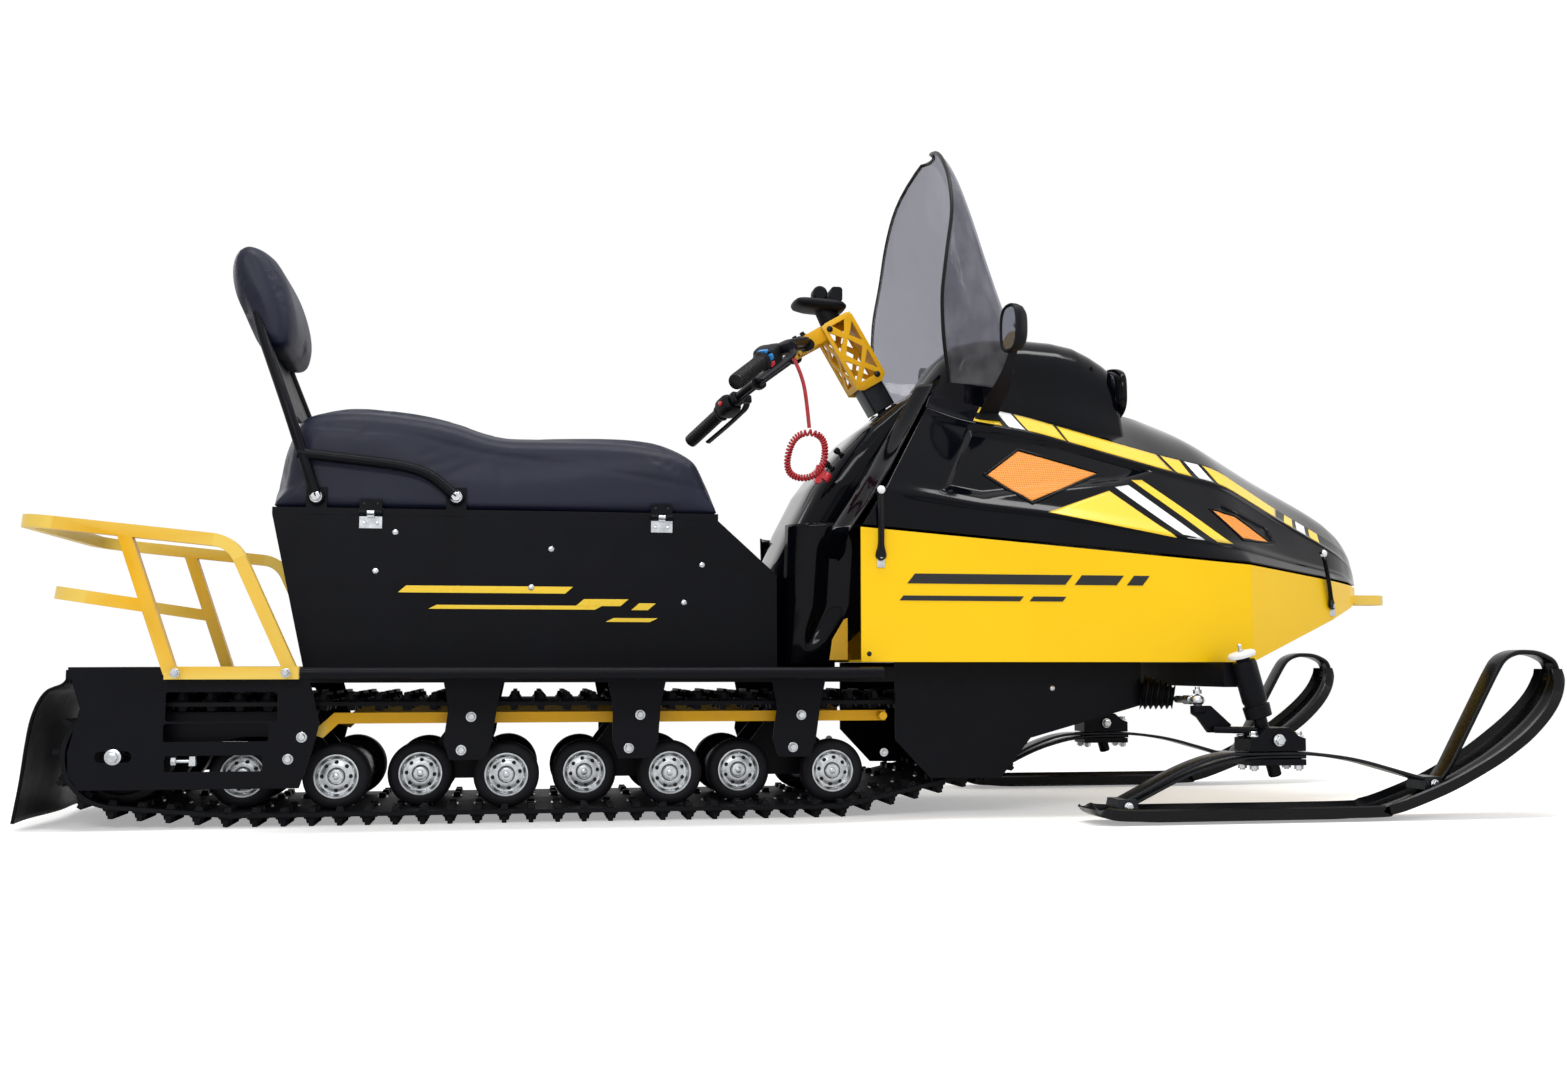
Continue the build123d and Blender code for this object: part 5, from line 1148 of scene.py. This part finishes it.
# Riser: two side plates with a truss of windows, joined by a plain front plate and a cut rear one
truss_side = [[(-38, 30), (-24, 22), (24, 22), (38, 36), (38, 184), (28, 194), (-28, 194), (-38, 184)],
              [(-20, 42), (22, 42), (2, 66)], [(-29, 50), (-29, 98), (-7, 74)],
              [(29, 52), (29, 100), (9, 76)],
              [(1, 80), (22, 110), (1, 140), (-20, 110)], [(-29, 122), (-29, 170), (-7, 146)],
              [(29, 122), (29, 170), (9, 146)],
              [(-16, 182), (16, 182), (1, 156)]]
truss_face = [[(-46, 30), (46, 30), (46, 192), (-46, 192)],
              [(-26, 44), (26, 44), (0, 74)], [(-35, 56), (-35, 106), (-10, 82)],
              [(35, 56), (35, 106), (10, 82)],
              [(0, 90), (24, 116), (0, 142), (-24, 116)], [(-35, 126), (-35, 176), (-10, 150)],
              [(35, 126), (35, 176), (10, 150)]]
origin = column_spot(0)
plates = [cut_plate(truss_side, 4, origin + np.array((0, y, 0)), -COLUMN_BACK, COLUMN_UP)
          for y in (-46, 46)]
plates += [cut_plate(rows, 4, origin + back * COLUMN_BACK, (0, 1, 0), COLUMN_UP) for rows,
           back in ((truss_face[:1], -35), (truss_face, 35))]
lids = [cut_plate([[(-33, -46), (33, -46), (33, 46), (-33, 46)], ring(13, 20).tolist()], 5,
                  column_spot(s), -COLUMN_BACK, (0, 1, 0)) for s in (34, 190)]
piece("riser_truss", join(*plates, *lids), yellow_coat, "steering", "yellow_powder", "riser", smooth=35)
clamp_parts = [swept(np.linspace(column_spot(177, 34, y), column_spot(177, 104, y), 6),
                     rounded_box(36, 16, 5))
               for y in (-24, 24)]
clamp_bolts = [bolt(column_spot(196, back, y), COLUMN_UP, 10, 8, 14) for back in (78, 98)
               for y in (-24, 24)]
piece("bar_clamps", join(*clamp_parts), yellow_coat, "steering", "yellow_powder", smooth=40, bevel=0.8)
side_bolts = [button_head(column_spot(s, back, -48), (0, -1, 0), 7, 4) for s,
              back in ((40, -20), (178, 24))]
piece("riser_bolts", join(*clamp_bolts, both(join(*side_bolts))), black_oxide, "steering", "zinc_steel",
      smooth=30)
bar_middle = column_spot(177, 86)
BAR_ROUTE = [tuple(bar_middle), (bar_middle[0], -64, bar_middle[2]), (-83, -250, 965),
             (-200, -400, 859)]
bar_line = bend_line(BAR_ROUTE, 55, 12)
bar_out = np.array(BAR_ROUTE[3]) - np.array(BAR_ROUTE[2])
bar_out = bar_out / np.linalg.norm(bar_out)
piece("handlebar_tube", both(swept(bar_line, ring(11, 18), (0, 0, 1))), black_coat, "steering",
      "black_powder", "handlebar", smooth=50)
grip_end = np.array(BAR_ROUTE[3])
rows = [(-120, 11.3), (-120, 19), (-116, 21), (-112, 19), (-110, 15.4)]
for k in range(13):
    a = -106 + k * 8
    rows += [(a, 15.2), (a + 1.2, 16.6), (a + 5, 16.6), (a + 6.2, 15.2)]
rows += [(0, 16.4), (4, 15.5), (6.5, 12), (7, 0)]
piece("rubber_grips", both(turned(rows, grip_end, bar_out, 30)), strap_rubber, "steering",
      "strap_rubber", "grips", smooth=40)
side_way = np.cross(bar_out, (0, 0, 1))
side_way /= np.linalg.norm(side_way)
rise_way = np.cross(side_way, bar_out)


def housing_at(start, stop, wide, high, corner):
    """Moulded housing round the bar between two distances from its end."""
    n = 8
    s = np.linspace(start, stop, n)
    swell = 1 - 0.16 * np.abs(np.linspace(-1, 1, n)) ** 4
    section = rounded_box(wide, high, corner, 4)
    around = section[None, :, :1] * side_way + section[None, :, 1:] * rise_way
    points = (grip_end + s[:, None] * bar_out)[:, None] + swell[:, None, None] * around
    return points.reshape(-1, 3), quads(n, len(section), False, True) + end_caps(n, len(section))


def on_bar(s, a, b):
    """Point s from the bar's end, a to its side and b up from it."""
    return grip_end + s * bar_out + a * side_way + b * rise_way


housing = housing_at(-166, -124, 50, 46, 12)
perch = housing_at(-186, -168, 32, 34, 9)
master = swept(np.array([on_bar(-176, -14, 2), on_bar(-176, -44, 6)]), rounded_box(24, 20, 5),
               (0, 0, 1))
lever_line = bend_line([on_bar(-176, -40, 2), on_bar(-150, -58, 0), on_bar(-90, -54, -4),
                        on_bar(-10, -46, -6)], 30, 10)
lever = swept(lever_line, rounded_box(16, 6, 2.5), (0, 0, 1))
piece("bar_switch_housings", both(join(housing, perch)), grained_black, "steering", "black_plastic",
      "switch_housings", smooth=40)
piece("bar_levers", both(join(lever, master)), black_coat, "steering", "black_powder", smooth=40)


def rocker(a, b, wide, high, reach=7):
    """Rounded rocker on the housing's outer end face, reach long."""
    path = np.array([on_bar(s, a, b) for s in (-127, -124 + reach * 0.7, -124 + reach)])
    return swept(path, rounded_box(wide, high, 3), (0, 0, 1))


blue_caps = [rocker(-4, 18, 22, 8), rocker(-19, 6, 9, 13)]
red_caps = [rocker(-19, -8, 9, 10), turned(((0, 0), (0, 6.5), (5, 6), (6, 4.5), (6, 0)),
                                           on_bar(-146, 22, 4), side_way, 18)]
piece("switch_caps_blue", both(join(*blue_caps)), blue_button, "steering", "black_plastic", smooth=50)
piece("switch_caps_red", both(join(*red_caps)), red_button, "steering", "red_cord", smooth=50)
along = np.linalg.norm(bar_line - grip_end, axis=1)
hose = swept(bar_line[(along > 176)] + np.array((-3, 0, -15)), ring(4.0, 10), (0, 0, 1))
ties = [swept(bar_line[k:k + 2] + np.array((-1, 0, -7)), ring(21, 14, 0.72), (0, 0, 1))
        for k in (len(bar_line) // 3, len(bar_line) // 2)]
piece("bar_cables", both(join(hose, *ties)), strap_rubber, "steering", "strap_rubber", smooth=60)

# Pod on the riser: a stalk, a flat instrument tray with a visor, and a screw boss
tray_outline = egg(60, 48, 0.5, 44)


def tray(s, scale):
    """Ring of the tray at s up the column, scaled about its middle."""
    middle = column_spot(232) + (s - 236) * np.array((0.06, 0, 1))
    long, wide = (scale * tray_outline[:, :1] - 10), scale * tray_outline[:, 1:]
    return middle + long * np.array((1, 0, -0.06)) + wide * np.array((0, 1, 0))


rings = np.stack([tray(s, k) for s, k in ((224, 0.0), (226, 0.7), (231, 0.94), (237, 1.0), (241, 0.99),
                                          (246, 0.9), (243, 0.84), (241, 0.0))])
pod_body = rings.reshape(-1, 3), quads(8, 44, False, True)
pod_stem = turned(((190, 0), (190, 24), (196, 25), (226, 22), (236, 22), (236, 0)), column_spot(0),
                  COLUMN_UP, 30)
boss = turned(((-16, 0), (-16, 14), (-12, 17), (12, 17), (16, 14), (16, 0)), column_spot(262, -8),
              (0, 1, 0), 28)
ear = swept(np.stack([column_spot(238, -6), column_spot(262, -8)]), rounded_box(26, 28, 5), (0, 1, 0))
wing = swept(np.array([column_spot(240, -34, y) for y in (-34, 34)]), rounded_box(26, 34, 7), (0, 0, 1))
piece("bar_pod_body", join(pod_body, pod_stem, boss, ear, wing), grained_black, "steering",
      "black_plastic", "bar_pod", smooth=45)
foot_block = swept(np.stack([column_spot(s) for s in (-34, 30)]), rounded_box(54, 76, 9))
shaft = turned(((-110, 0), (-110, 11), (44, 11), (44, 0)), column_spot(0), COLUMN_UP, 28)
collar = turned(((8, 11), (8, 19), (10, 20), (20, 20), (22, 19), (22, 11)), column_spot(0), COLUMN_UP,
                28)
piece("steering_column_shaft", join(shaft, collar, foot_block), black_oxide, "steering", "zinc_steel",
      "steering_column", smooth=40, bevel=0.8)

# Console stations: height, then X of the rear and half width
CONSOLE_ROWS = np.array([(304, -84, 150), (420, -84, 156), (520, -80, 170), (600, -48, 186),
                         (688, -2, 200), (752, 46, 204), (810, 100, 202),
                         (869, 178, 196), (905, 232, 188)], float)


def console_front(z):
    """X of the console's front edge, along the hood's rear edge."""
    return np.where(z > 582, seam_start(z) - 8.0, 46.0)


cz, ct = np.meshgrid(np.linspace(304, 905, 70), np.linspace(0, np.pi, 61), indexing="ij")
rear, half = (np.interp(cz, CONSOLE_ROWS[:, 0], CONSOLE_ROWS[:, k]) for k in (1, 2))
front = np.maximum(console_front(cz), rear + 24)
c_y = -half * np.sign(np.cos(ct)) * np.abs(np.cos(ct)) ** 0.42
c_x = front - (front - rear) * np.abs(np.sin(ct)) ** 0.42
console_skin = column(c_x, c_y, cz), quads(70, 61)
console_lid = column(c_x[-1], c_y[-1], cz[-1]), [list(range(61))]
piece("console_shell", join(console_skin, console_lid), gloss_black, "frame", "black_gloss", "console",
      smooth=40, thick=3.0)
# Leg shields: from the console's side out to the hood's corner, rolled at the outer edge
s_grid, z_grid2 = np.meshgrid(np.linspace(0, 1, 36), np.linspace(520, 900, 50), indexing="ij")
rim_out = np.interp(z_grid2, (520, 545, 580, 640, 700, 800, 900), (196, 262, 326, 346, 342, 286, 236))
inner = np.interp(z_grid2, CONSOLE_ROWS[:, 0], CONSOLE_ROWS[:, 2]) - 6
shield_y = inner * (1 - s_grid) + rim_out * s_grid
edge_x = console_front(z_grid2) - 3
shield_x = edge_x - 26 * np.sin(np.pi * s_grid) ** 2 - 22 * (1 - s_grid) ** 2
shield_x -= 4 * ramp(s_grid - 0.9, 0.1)
piece("leg_shield_sheets", both((column(shield_x, -shield_y, z_grid2), quads(36, 50))), gloss_black,
      "frame", "black_gloss", "leg_shields",
      smooth=50, thick=3.0)
# Side cheeks of the console: a rounded moulding under each leg shield
cheek_z, cheek_t = np.meshgrid(np.linspace(306, 600, 36), np.linspace(0, 1, 36), indexing="ij")
cheek_half = np.interp(cheek_z, CONSOLE_ROWS[:, 0],
                       CONSOLE_ROWS[:, 2]) * (0.9
                                              + 0.1 * np.sin(np.pi * np.clip(cheek_t * 4, 0, 0.5))) + 4
cheek_bulge = np.sin(np.pi * np.clip(cheek_t * 1.1, 0, 0.5)) ** 0.6
cheek_half += 48 * cheek_bulge * np.sin(np.pi * (cheek_z - 280) / 640) ** 0.5
cheek_dent = np.exp(-((cheek_t - 0.42) / 0.12) ** 2)
cheek_half -= 18 * cheek_dent * ramp(cheek_z - 330, 60) * ramp(600 - cheek_z, 60)
cheek_x = -64 + cheek_t * (np.interp(cheek_z, (306, 330, 430, 600), (30, 42, 142, 150)) + 64)
piece("console_cheeks", both((column(cheek_x, -cheek_half, cheek_z), quads(36, 36))), gloss_black,
      "frame", "black_gloss", smooth=50, thick=2.5)
yellow_stays = [slab([(52, 318), (14, 318), (20, 360), (44, 400), (52, 404)], -252, -248),
                slab([(52, 318), (20, 318), (48, 372)], -222, -218)]
piece("engine_stays", both(join(*yellow_stays)), yellow_coat, "frame", "yellow_powder", bevel=0.6)

# Dash: two knobs on the console's right, for the key and the choke
knob_profile = ((-4, 0), (-4, 8), (2, 8), (4, 4.5), (9, 4.5), (11, 7), (18, 7), (20, 5), (20, 0))
dash_parts = [turned(knob_profile, at, (-0.75, -0.1, 0.66), 22)
              for at in ((60, -160, 752), (38, -164, 722))]
piece("dash_knobs", join(*dash_parts), grained_black, "frame", "black_plastic", smooth=40)

# Stop-switch tether: a hanging strap, then a coiled loop and its clip
TETHER_Y = -222.0
TETHER_ROUTE = ((-58, -196, 966), (-46, -211, 935), (-34, TETHER_Y, 896), (-27, TETHER_Y, 852),
                (-22, TETHER_Y, 800))


def cord_curve(name, route, width, material):
    """Cord: an order 3 NURBS spline whose control points are the route's own points."""
    curve = bpy.data.curves.new(name, "CURVE")
    curve.dimensions, curve.bevel_depth, curve.bevel_resolution = "3D", width / 2 * MM, 4
    curve.use_fill_caps = True
    line = curve.splines.new("NURBS")
    line.points.add(len(route) - 1)
    line.points.foreach_set("co", np.concatenate([np.array(route) * MM, np.ones((len(route), 1))],
                                                 1).ravel())
    line.order_u, line.use_endpoint_u, line.resolution_u = 3, True, 12
    curve.materials.append(material)
    return add_object(name, curve)


def line_points(route):
    """Evaluated points of the NURBS line through a route, in metres."""
    probe = cord_curve("probe", route, 0.0, red_cord)
    mesh = bpy.data.meshes.new_from_object(probe)
    points, curve = points_of(mesh), probe.data
    bpy.data.objects.remove(probe)
    bpy.data.curves.remove(curve)
    bpy.data.meshes.remove(mesh)
    return points


strap_length = float(np.linalg.norm(np.diff(line_points(TETHER_ROUTE), axis=0), axis=1).sum())
strap = cord_curve("tether_strap_cord", TETHER_ROUTE, 8.0, red_cord)
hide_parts("tether_strap")
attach(strap, "steering")
LOOP_AT = (-28.0, 742.0)
COIL_STEPS, COIL_TURNS, COIL_R, CORD_R = 900, 44, 5.2, 2.5
turns = np.linspace(0, 2 * np.pi, 24, endpoint=True)
loop_route = [(LOOP_AT[0] + 43 * math.sin(a) * (1 + 0.1 * math.cos(2 * a)) + 8 * math.cos(a),
               TETHER_Y + 5 * math.sin(a * 2), LOOP_AT[1] + 48 * math.cos(a))
              for a in turns]
loop_points = line_points(loop_route) / MM
coil = np.linspace(0, len(loop_points) - 1, COIL_STEPS)
k = np.minimum(coil.astype(int), len(loop_points) - 2)
centre_line = loop_points[k] * (1 - (coil - k))[:, None] + loop_points[k + 1] * (coil - k)[:, None]
away = centre_line - np.array((LOOP_AT[0], TETHER_Y, LOOP_AT[1]))
away[:, 1] = 0
away = unit(away)
phase = np.linspace(0, 2 * np.pi * COIL_TURNS, COIL_STEPS)[:, None]
helix = centre_line + COIL_R * (np.cos(phase) * away + np.sin(phase) * np.array((0, 1, 0)))
coil_points = tube_rings(helix, unit(np.gradient(helix, axis=0)), away, CORD_R)
loop_piece = piece("tether_coil", (coil_points, quads(COIL_STEPS, 8, False, True)), red_cord,
                   "steering", "red_cord", "tether_loop", smooth=60)
clip = join(block(-10, 12, TETHER_Y - 7, TETHER_Y + 7, 694, 722, 3),
            turned(((0, 0), (0, 8), (4, 10), (16, 10), (18, 6), (18, 0)), (10, TETHER_Y, 690),
                   (0.5, 0, 0.86), 20),
            turned(((-9, 0), (-9, 7), (9, 7), (9, 0)), (-4, TETHER_Y, 690), (0, 1, 0), 18))
clip_piece = piece("tether_clip_body", clip, red_button, "steering", "black_plastic", "tether_clip",
                   smooth=40)

# Snow flap: a sheet that hangs from a strip and waves by 5 mm at its foot
flap_line = spline([(-1437, 301), (-1441, 288), (-1450, 274), (-1476, 262), (-1492, 240), (-1504, 205),
                    (-1511, 160), (-1519, 90), (-1530, 16)], 60)
FLAP_HALF = 264
flap_y = np.linspace(-FLAP_HALF, FLAP_HALF, 60)
share = np.linspace(0, 1, 60)
fx = flap_line[:, None, 0] + 5 * share[:, None] ** 2 * np.cos(flap_y / FLAP_HALF * np.pi * 1.5)[None]
piece("snow_flap_sheet", (column(fx, flap_y[None], flap_line[:, None, 1]), quads(60, 60)), flap_rubber,
      "frame", "strap_rubber", "snow_flap", smooth=60, thick=5.0)
strip = swept(column(-1442, np.linspace(-262, 262, 6), 290), rounded_box(18, 5, 1.5), (1, 0, 0))
flap_bolts = [bolt((-1445, y, 290), (-1, 0, 0), 10, 6, 16) for y in np.linspace(-230, 230, 6)]
piece("snow_flap_strip", strip, black_coat, "frame", "black_powder", bevel=0.5)

# Bolts of the plates, the rack and the belly
side_spots = [(-1039, 130, 13), (-1015, 171, 13), (-700, 208, 13), (-718, 144, 13), (-373, 210, 13),
              (-395, 145, 13), (-50, 208, 13),
              (-67, 144, 13), (120, 132, 10)]
side_bolts = [bolt((x, -TUNNEL_HALF - SHEET, z), (0, -1, 0), head, 8, head + 7) for x, z,
              head in side_spots]
rack_bolts = [bolt((x, -315, 293), (0, -1, 0), 12, 7, 18) for x in (-1240, -1042)]
belly_bolt = button_head((481, -274, 260), (0, -1, 0), 6, 3)
piece("plate_bolts", both(join(*side_bolts, *rack_bolts, belly_bolt)), zinc, "frame", "zinc_steel",
      smooth=30)
piece("flap_bolts", join(*flap_bolts), zinc, "frame", "zinc_steel", smooth=30)
# Track tension: a screw in the lowest window with its nut and block, and the arm behind it
tension = join(turned(((0, 0), (0, 4), (44, 4), (44, 0)), (-1250, -272, 128), (1, 0, 0), 14),
               turned(((0, 0), (0, 8.5), (9, 8.5), (9, 0)), (-1250, -272, 128), (1, 0, 0), 6),
               block(-1218, -1206, -277, -262, 119, 137, 1))
arms = slab([(-1366, 120), (-1130, 170), (-1030, 170), (-1030, 218), (-1290, 218), (-1366, 160)], -222,
            -213)
piece("suspension_arms", both(arms), black_coat, "frame", "black_powder")
piece("tension_screws", both(tension), zinc, "frame", "zinc_steel", smooth=30)

# Box: rivets, hinge screws and plain bars where the photo has lettering
rivet_spots = ((-857, 572), (-894, 494), (-549, 542), (-588, 464), (-241, 513), (-278, 435))
box_rivets = [button_head((x, -BOX_HALF, z), (0, -1, 0), 6.5, 3) for x, z in rivet_spots]
piece("box_rivets", both(join(*box_rivets)), zinc, "frame", "zinc_steel")
hinge_screws_low, hinge_screws_high = (
    [button_head((x + d, -BOX_HALF - 2, z), (0, -1, 0), 3.6, 1.6) for x in (-905, -325)
     for d in (-13, 13)]
    for z in (590, 628))
piece("hinge_screws_fixed", join(*hinge_screws_low), chrome, "frame", "zinc_steel")
piece("hinge_screws_turning", join(*hinge_screws_high), black_oxide, "seat", "zinc_steel")


def slanted(x, z, wide, high, lean, y):
    """Film on a flat side: a bar whose top is shifted forwards by the lean."""
    return slab([(x, z), (x + wide, z), (x + wide + lean, z + high), (x + lean, z + high)], -y - 0.6,
                -y + 0.2)


box_bars = [slanted(x, foot - 0.07 * (x + 850), w, h, 16, BOX_HALF + 0.3) for foot, x, w, h in
            ((452, -850, 330, 14), (452, -498, 90, 14), (452, -386, 34, 14), (424, -790, 330, 8),
             (424, -438, 90, 8))]
piece("box_stripes", both(join(*box_bars)), yellow_film, "frame", "yellow_panel")
cowl_bars = [slanted(x, z, w, h, lean, COWL_HALF + 0.2) for x, z, w, h, lean in
             ((150, 470, 330, 20, 16), (500, 470, 90, 20, 16), (612, 470, 34, 20, 16),
              (134, 436, 250, 10, 8), (404, 436, 70, 10, 8))]
piece("cowl_stripes", both(join(*cowl_bars)), dark_film, "frame", "black_powder")
cowl_screw = button_head((72, -float(cowl_half(72)), 330), (0, -1, 0), 5, 2.4)
piece("cowl_screws", both(cowl_screw), black_oxide, "frame", "zinc_steel")
board_plugs = [swept(np.array([(x, -400, 293), (x + 4, -400, 293)], float), ring(11, 16))
               for x in (-1004, 86)]
piece("board_end_plugs", both(join(*board_plugs)), grained_black, "frame", "black_plastic")

# Finishes of the CAD nodes that stay
KEPT = {
    black_coat: ("side_plates", "tunnel_deck", "running_boards", "seat_box", "belly_pan", "front_beam",
                 "bogie_rockers", "seat_base", "hinge_turning"),
    yellow_coat: ("rear_rack", "tow_bumper", "slide_rails"),
    yellow_panel: ("lower_cowl",),
    zinc: ("hinge_fixed",),
    grained_black: ("drive_shaft",),
    cast_aluminium: ("engine_block",),
}
for material, names in KEPT.items():
    for name in names:
        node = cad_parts[name]
        node.data.materials.clear()
        node.data.materials.append(material)


# Studio: floor, world, lamps and the photo's camera
def plain(name, colour, strength_to_camera=0.0):
    """Floor: pale matt paint that the camera sees lifted by a share of white, with its
    shadows, and that fades to white between 1.7 and 3.6 m from the middle."""
    material, tree = new_material(name, stock=True)
    shader = tree.nodes["Principled BSDF"]
    shader.inputs["Base Color"].default_value = linear(colour)
    shader.inputs["Roughness"].default_value = 0.9
    rays = put(tree, "LightPath")
    lift = put(tree, "Math", {0: rays.outputs["Is Camera Ray"], 1: strength_to_camera},
               operation="MULTIPLY")
    glow = put(tree, "Emission", {"Color": (1, 1, 1, 1), "Strength": lift.outputs[0]})
    both_layers = put(tree, "AddShader", {0: shader.outputs[0], 1: glow.outputs[0]})
    place = put(tree, "TexCoord").outputs["Object"]
    reach = put(tree, "VectorMath", {0: place}, operation="LENGTH").outputs["Value"]
    away = put(tree, "MapRange", {"Value": reach, "From Min": 1.7, "From Max": 3.6},
               interpolation_type="SMOOTHSTEP")
    seen = put(tree, "Math", {0: rays.outputs["Is Camera Ray"], 1: away.outputs[0]},
               operation="MULTIPLY")
    white = put(tree, "Emission", {"Color": (1, 1, 1, 1), "Strength": 1.0})
    faded = put(tree, "MixShader", {"Fac": seen.outputs[0], 1: both_layers.outputs[0],
                                    2: white.outputs[0]})
    tree.links.new(faded.outputs[0], tree.nodes["Material Output"].inputs["Surface"])
    return material


floor_mesh = bpy.data.meshes.new("studio_floor")
floor_mesh.from_pydata([(-30, -30, 0), (30, -30, 0), (30, 30, 0), (-30, 30, 0)], [], [(0, 1, 2, 3)])
floor_mesh.materials.append(plain("studio_floor_paint", "f2f2f2", 0.34))
floor = add_object("studio_floor", floor_mesh)

world = bpy.data.worlds.new("studio_world")
bpy.context.scene.world = world
world.use_nodes = True
sky = world.node_tree
sky.nodes.clear()
rays = put(sky, "LightPath")
seen = put(sky, "Math", {0: rays.outputs["Is Camera Ray"], 1: rays.outputs["Is Transmission Ray"]},
           operation="MAXIMUM")
seen = put(sky, "Math", {0: seen.outputs[0], 1: rays.outputs["Is Glossy Ray"]}, operation="MAXIMUM")
level = put(sky, "MapRange", {"Value": seen.outputs[0], "To Min": 0.45, "To Max": 1.0})
light = put(sky, "Background", {"Color": (1, 1, 1, 1), "Strength": level.outputs[0]})
put(sky, "OutputWorld", {"Surface": light.outputs[0]})


def lamp(name, place, aim, size, power):
    """Soft rectangular lamp at a place, turned to face the aim."""
    data = bpy.data.lights.new(name, "AREA")
    data.shape, data.size, data.size_y, data.energy = "RECTANGLE", size[0], size[1], power
    made = add_object(name, data)
    run = np.array(aim, float) - np.array(place, float)
    made.location = place
    yaw = math.atan2(run[1], run[0]) - math.pi / 2
    made.rotation_euler = (math.pi / 2 + math.atan2(run[2], math.hypot(run[0], run[1])), 0, yaw)


lamp("overhead_bank", (0.2, -0.9, 4.2), (0, 0, 0.4), (4.5, 0.6), 115)
lamp("right_bank", (-1.6, -4.2, 2.6), (0.1, 0, 0.5), (2.6, 0.7), 68)
lamp("front_bank", (4.4, -1.8, 2.2), (0.6, 0, 0.5), (1.6, 1.6), 32)
lamp("rear_bank", (-4.0, 2.6, 2.6), (-0.4, 0, 0.6), (2.0, 1.4), 46)

eye = bpy.data.cameras.new("photo_camera")
eye.lens, eye.sensor_width, eye.sensor_fit = 34.92, 36.0, "HORIZONTAL"
camera = add_object("photo_camera", eye)
camera.location = (-0.608, -3.30, 0.308)
camera.rotation_euler = (math.radians(90 + 4.70), 0, math.radians(-9.8))
bpy.context.scene.camera = camera
bpy.context.scene.view_settings.view_transform = "Standard"
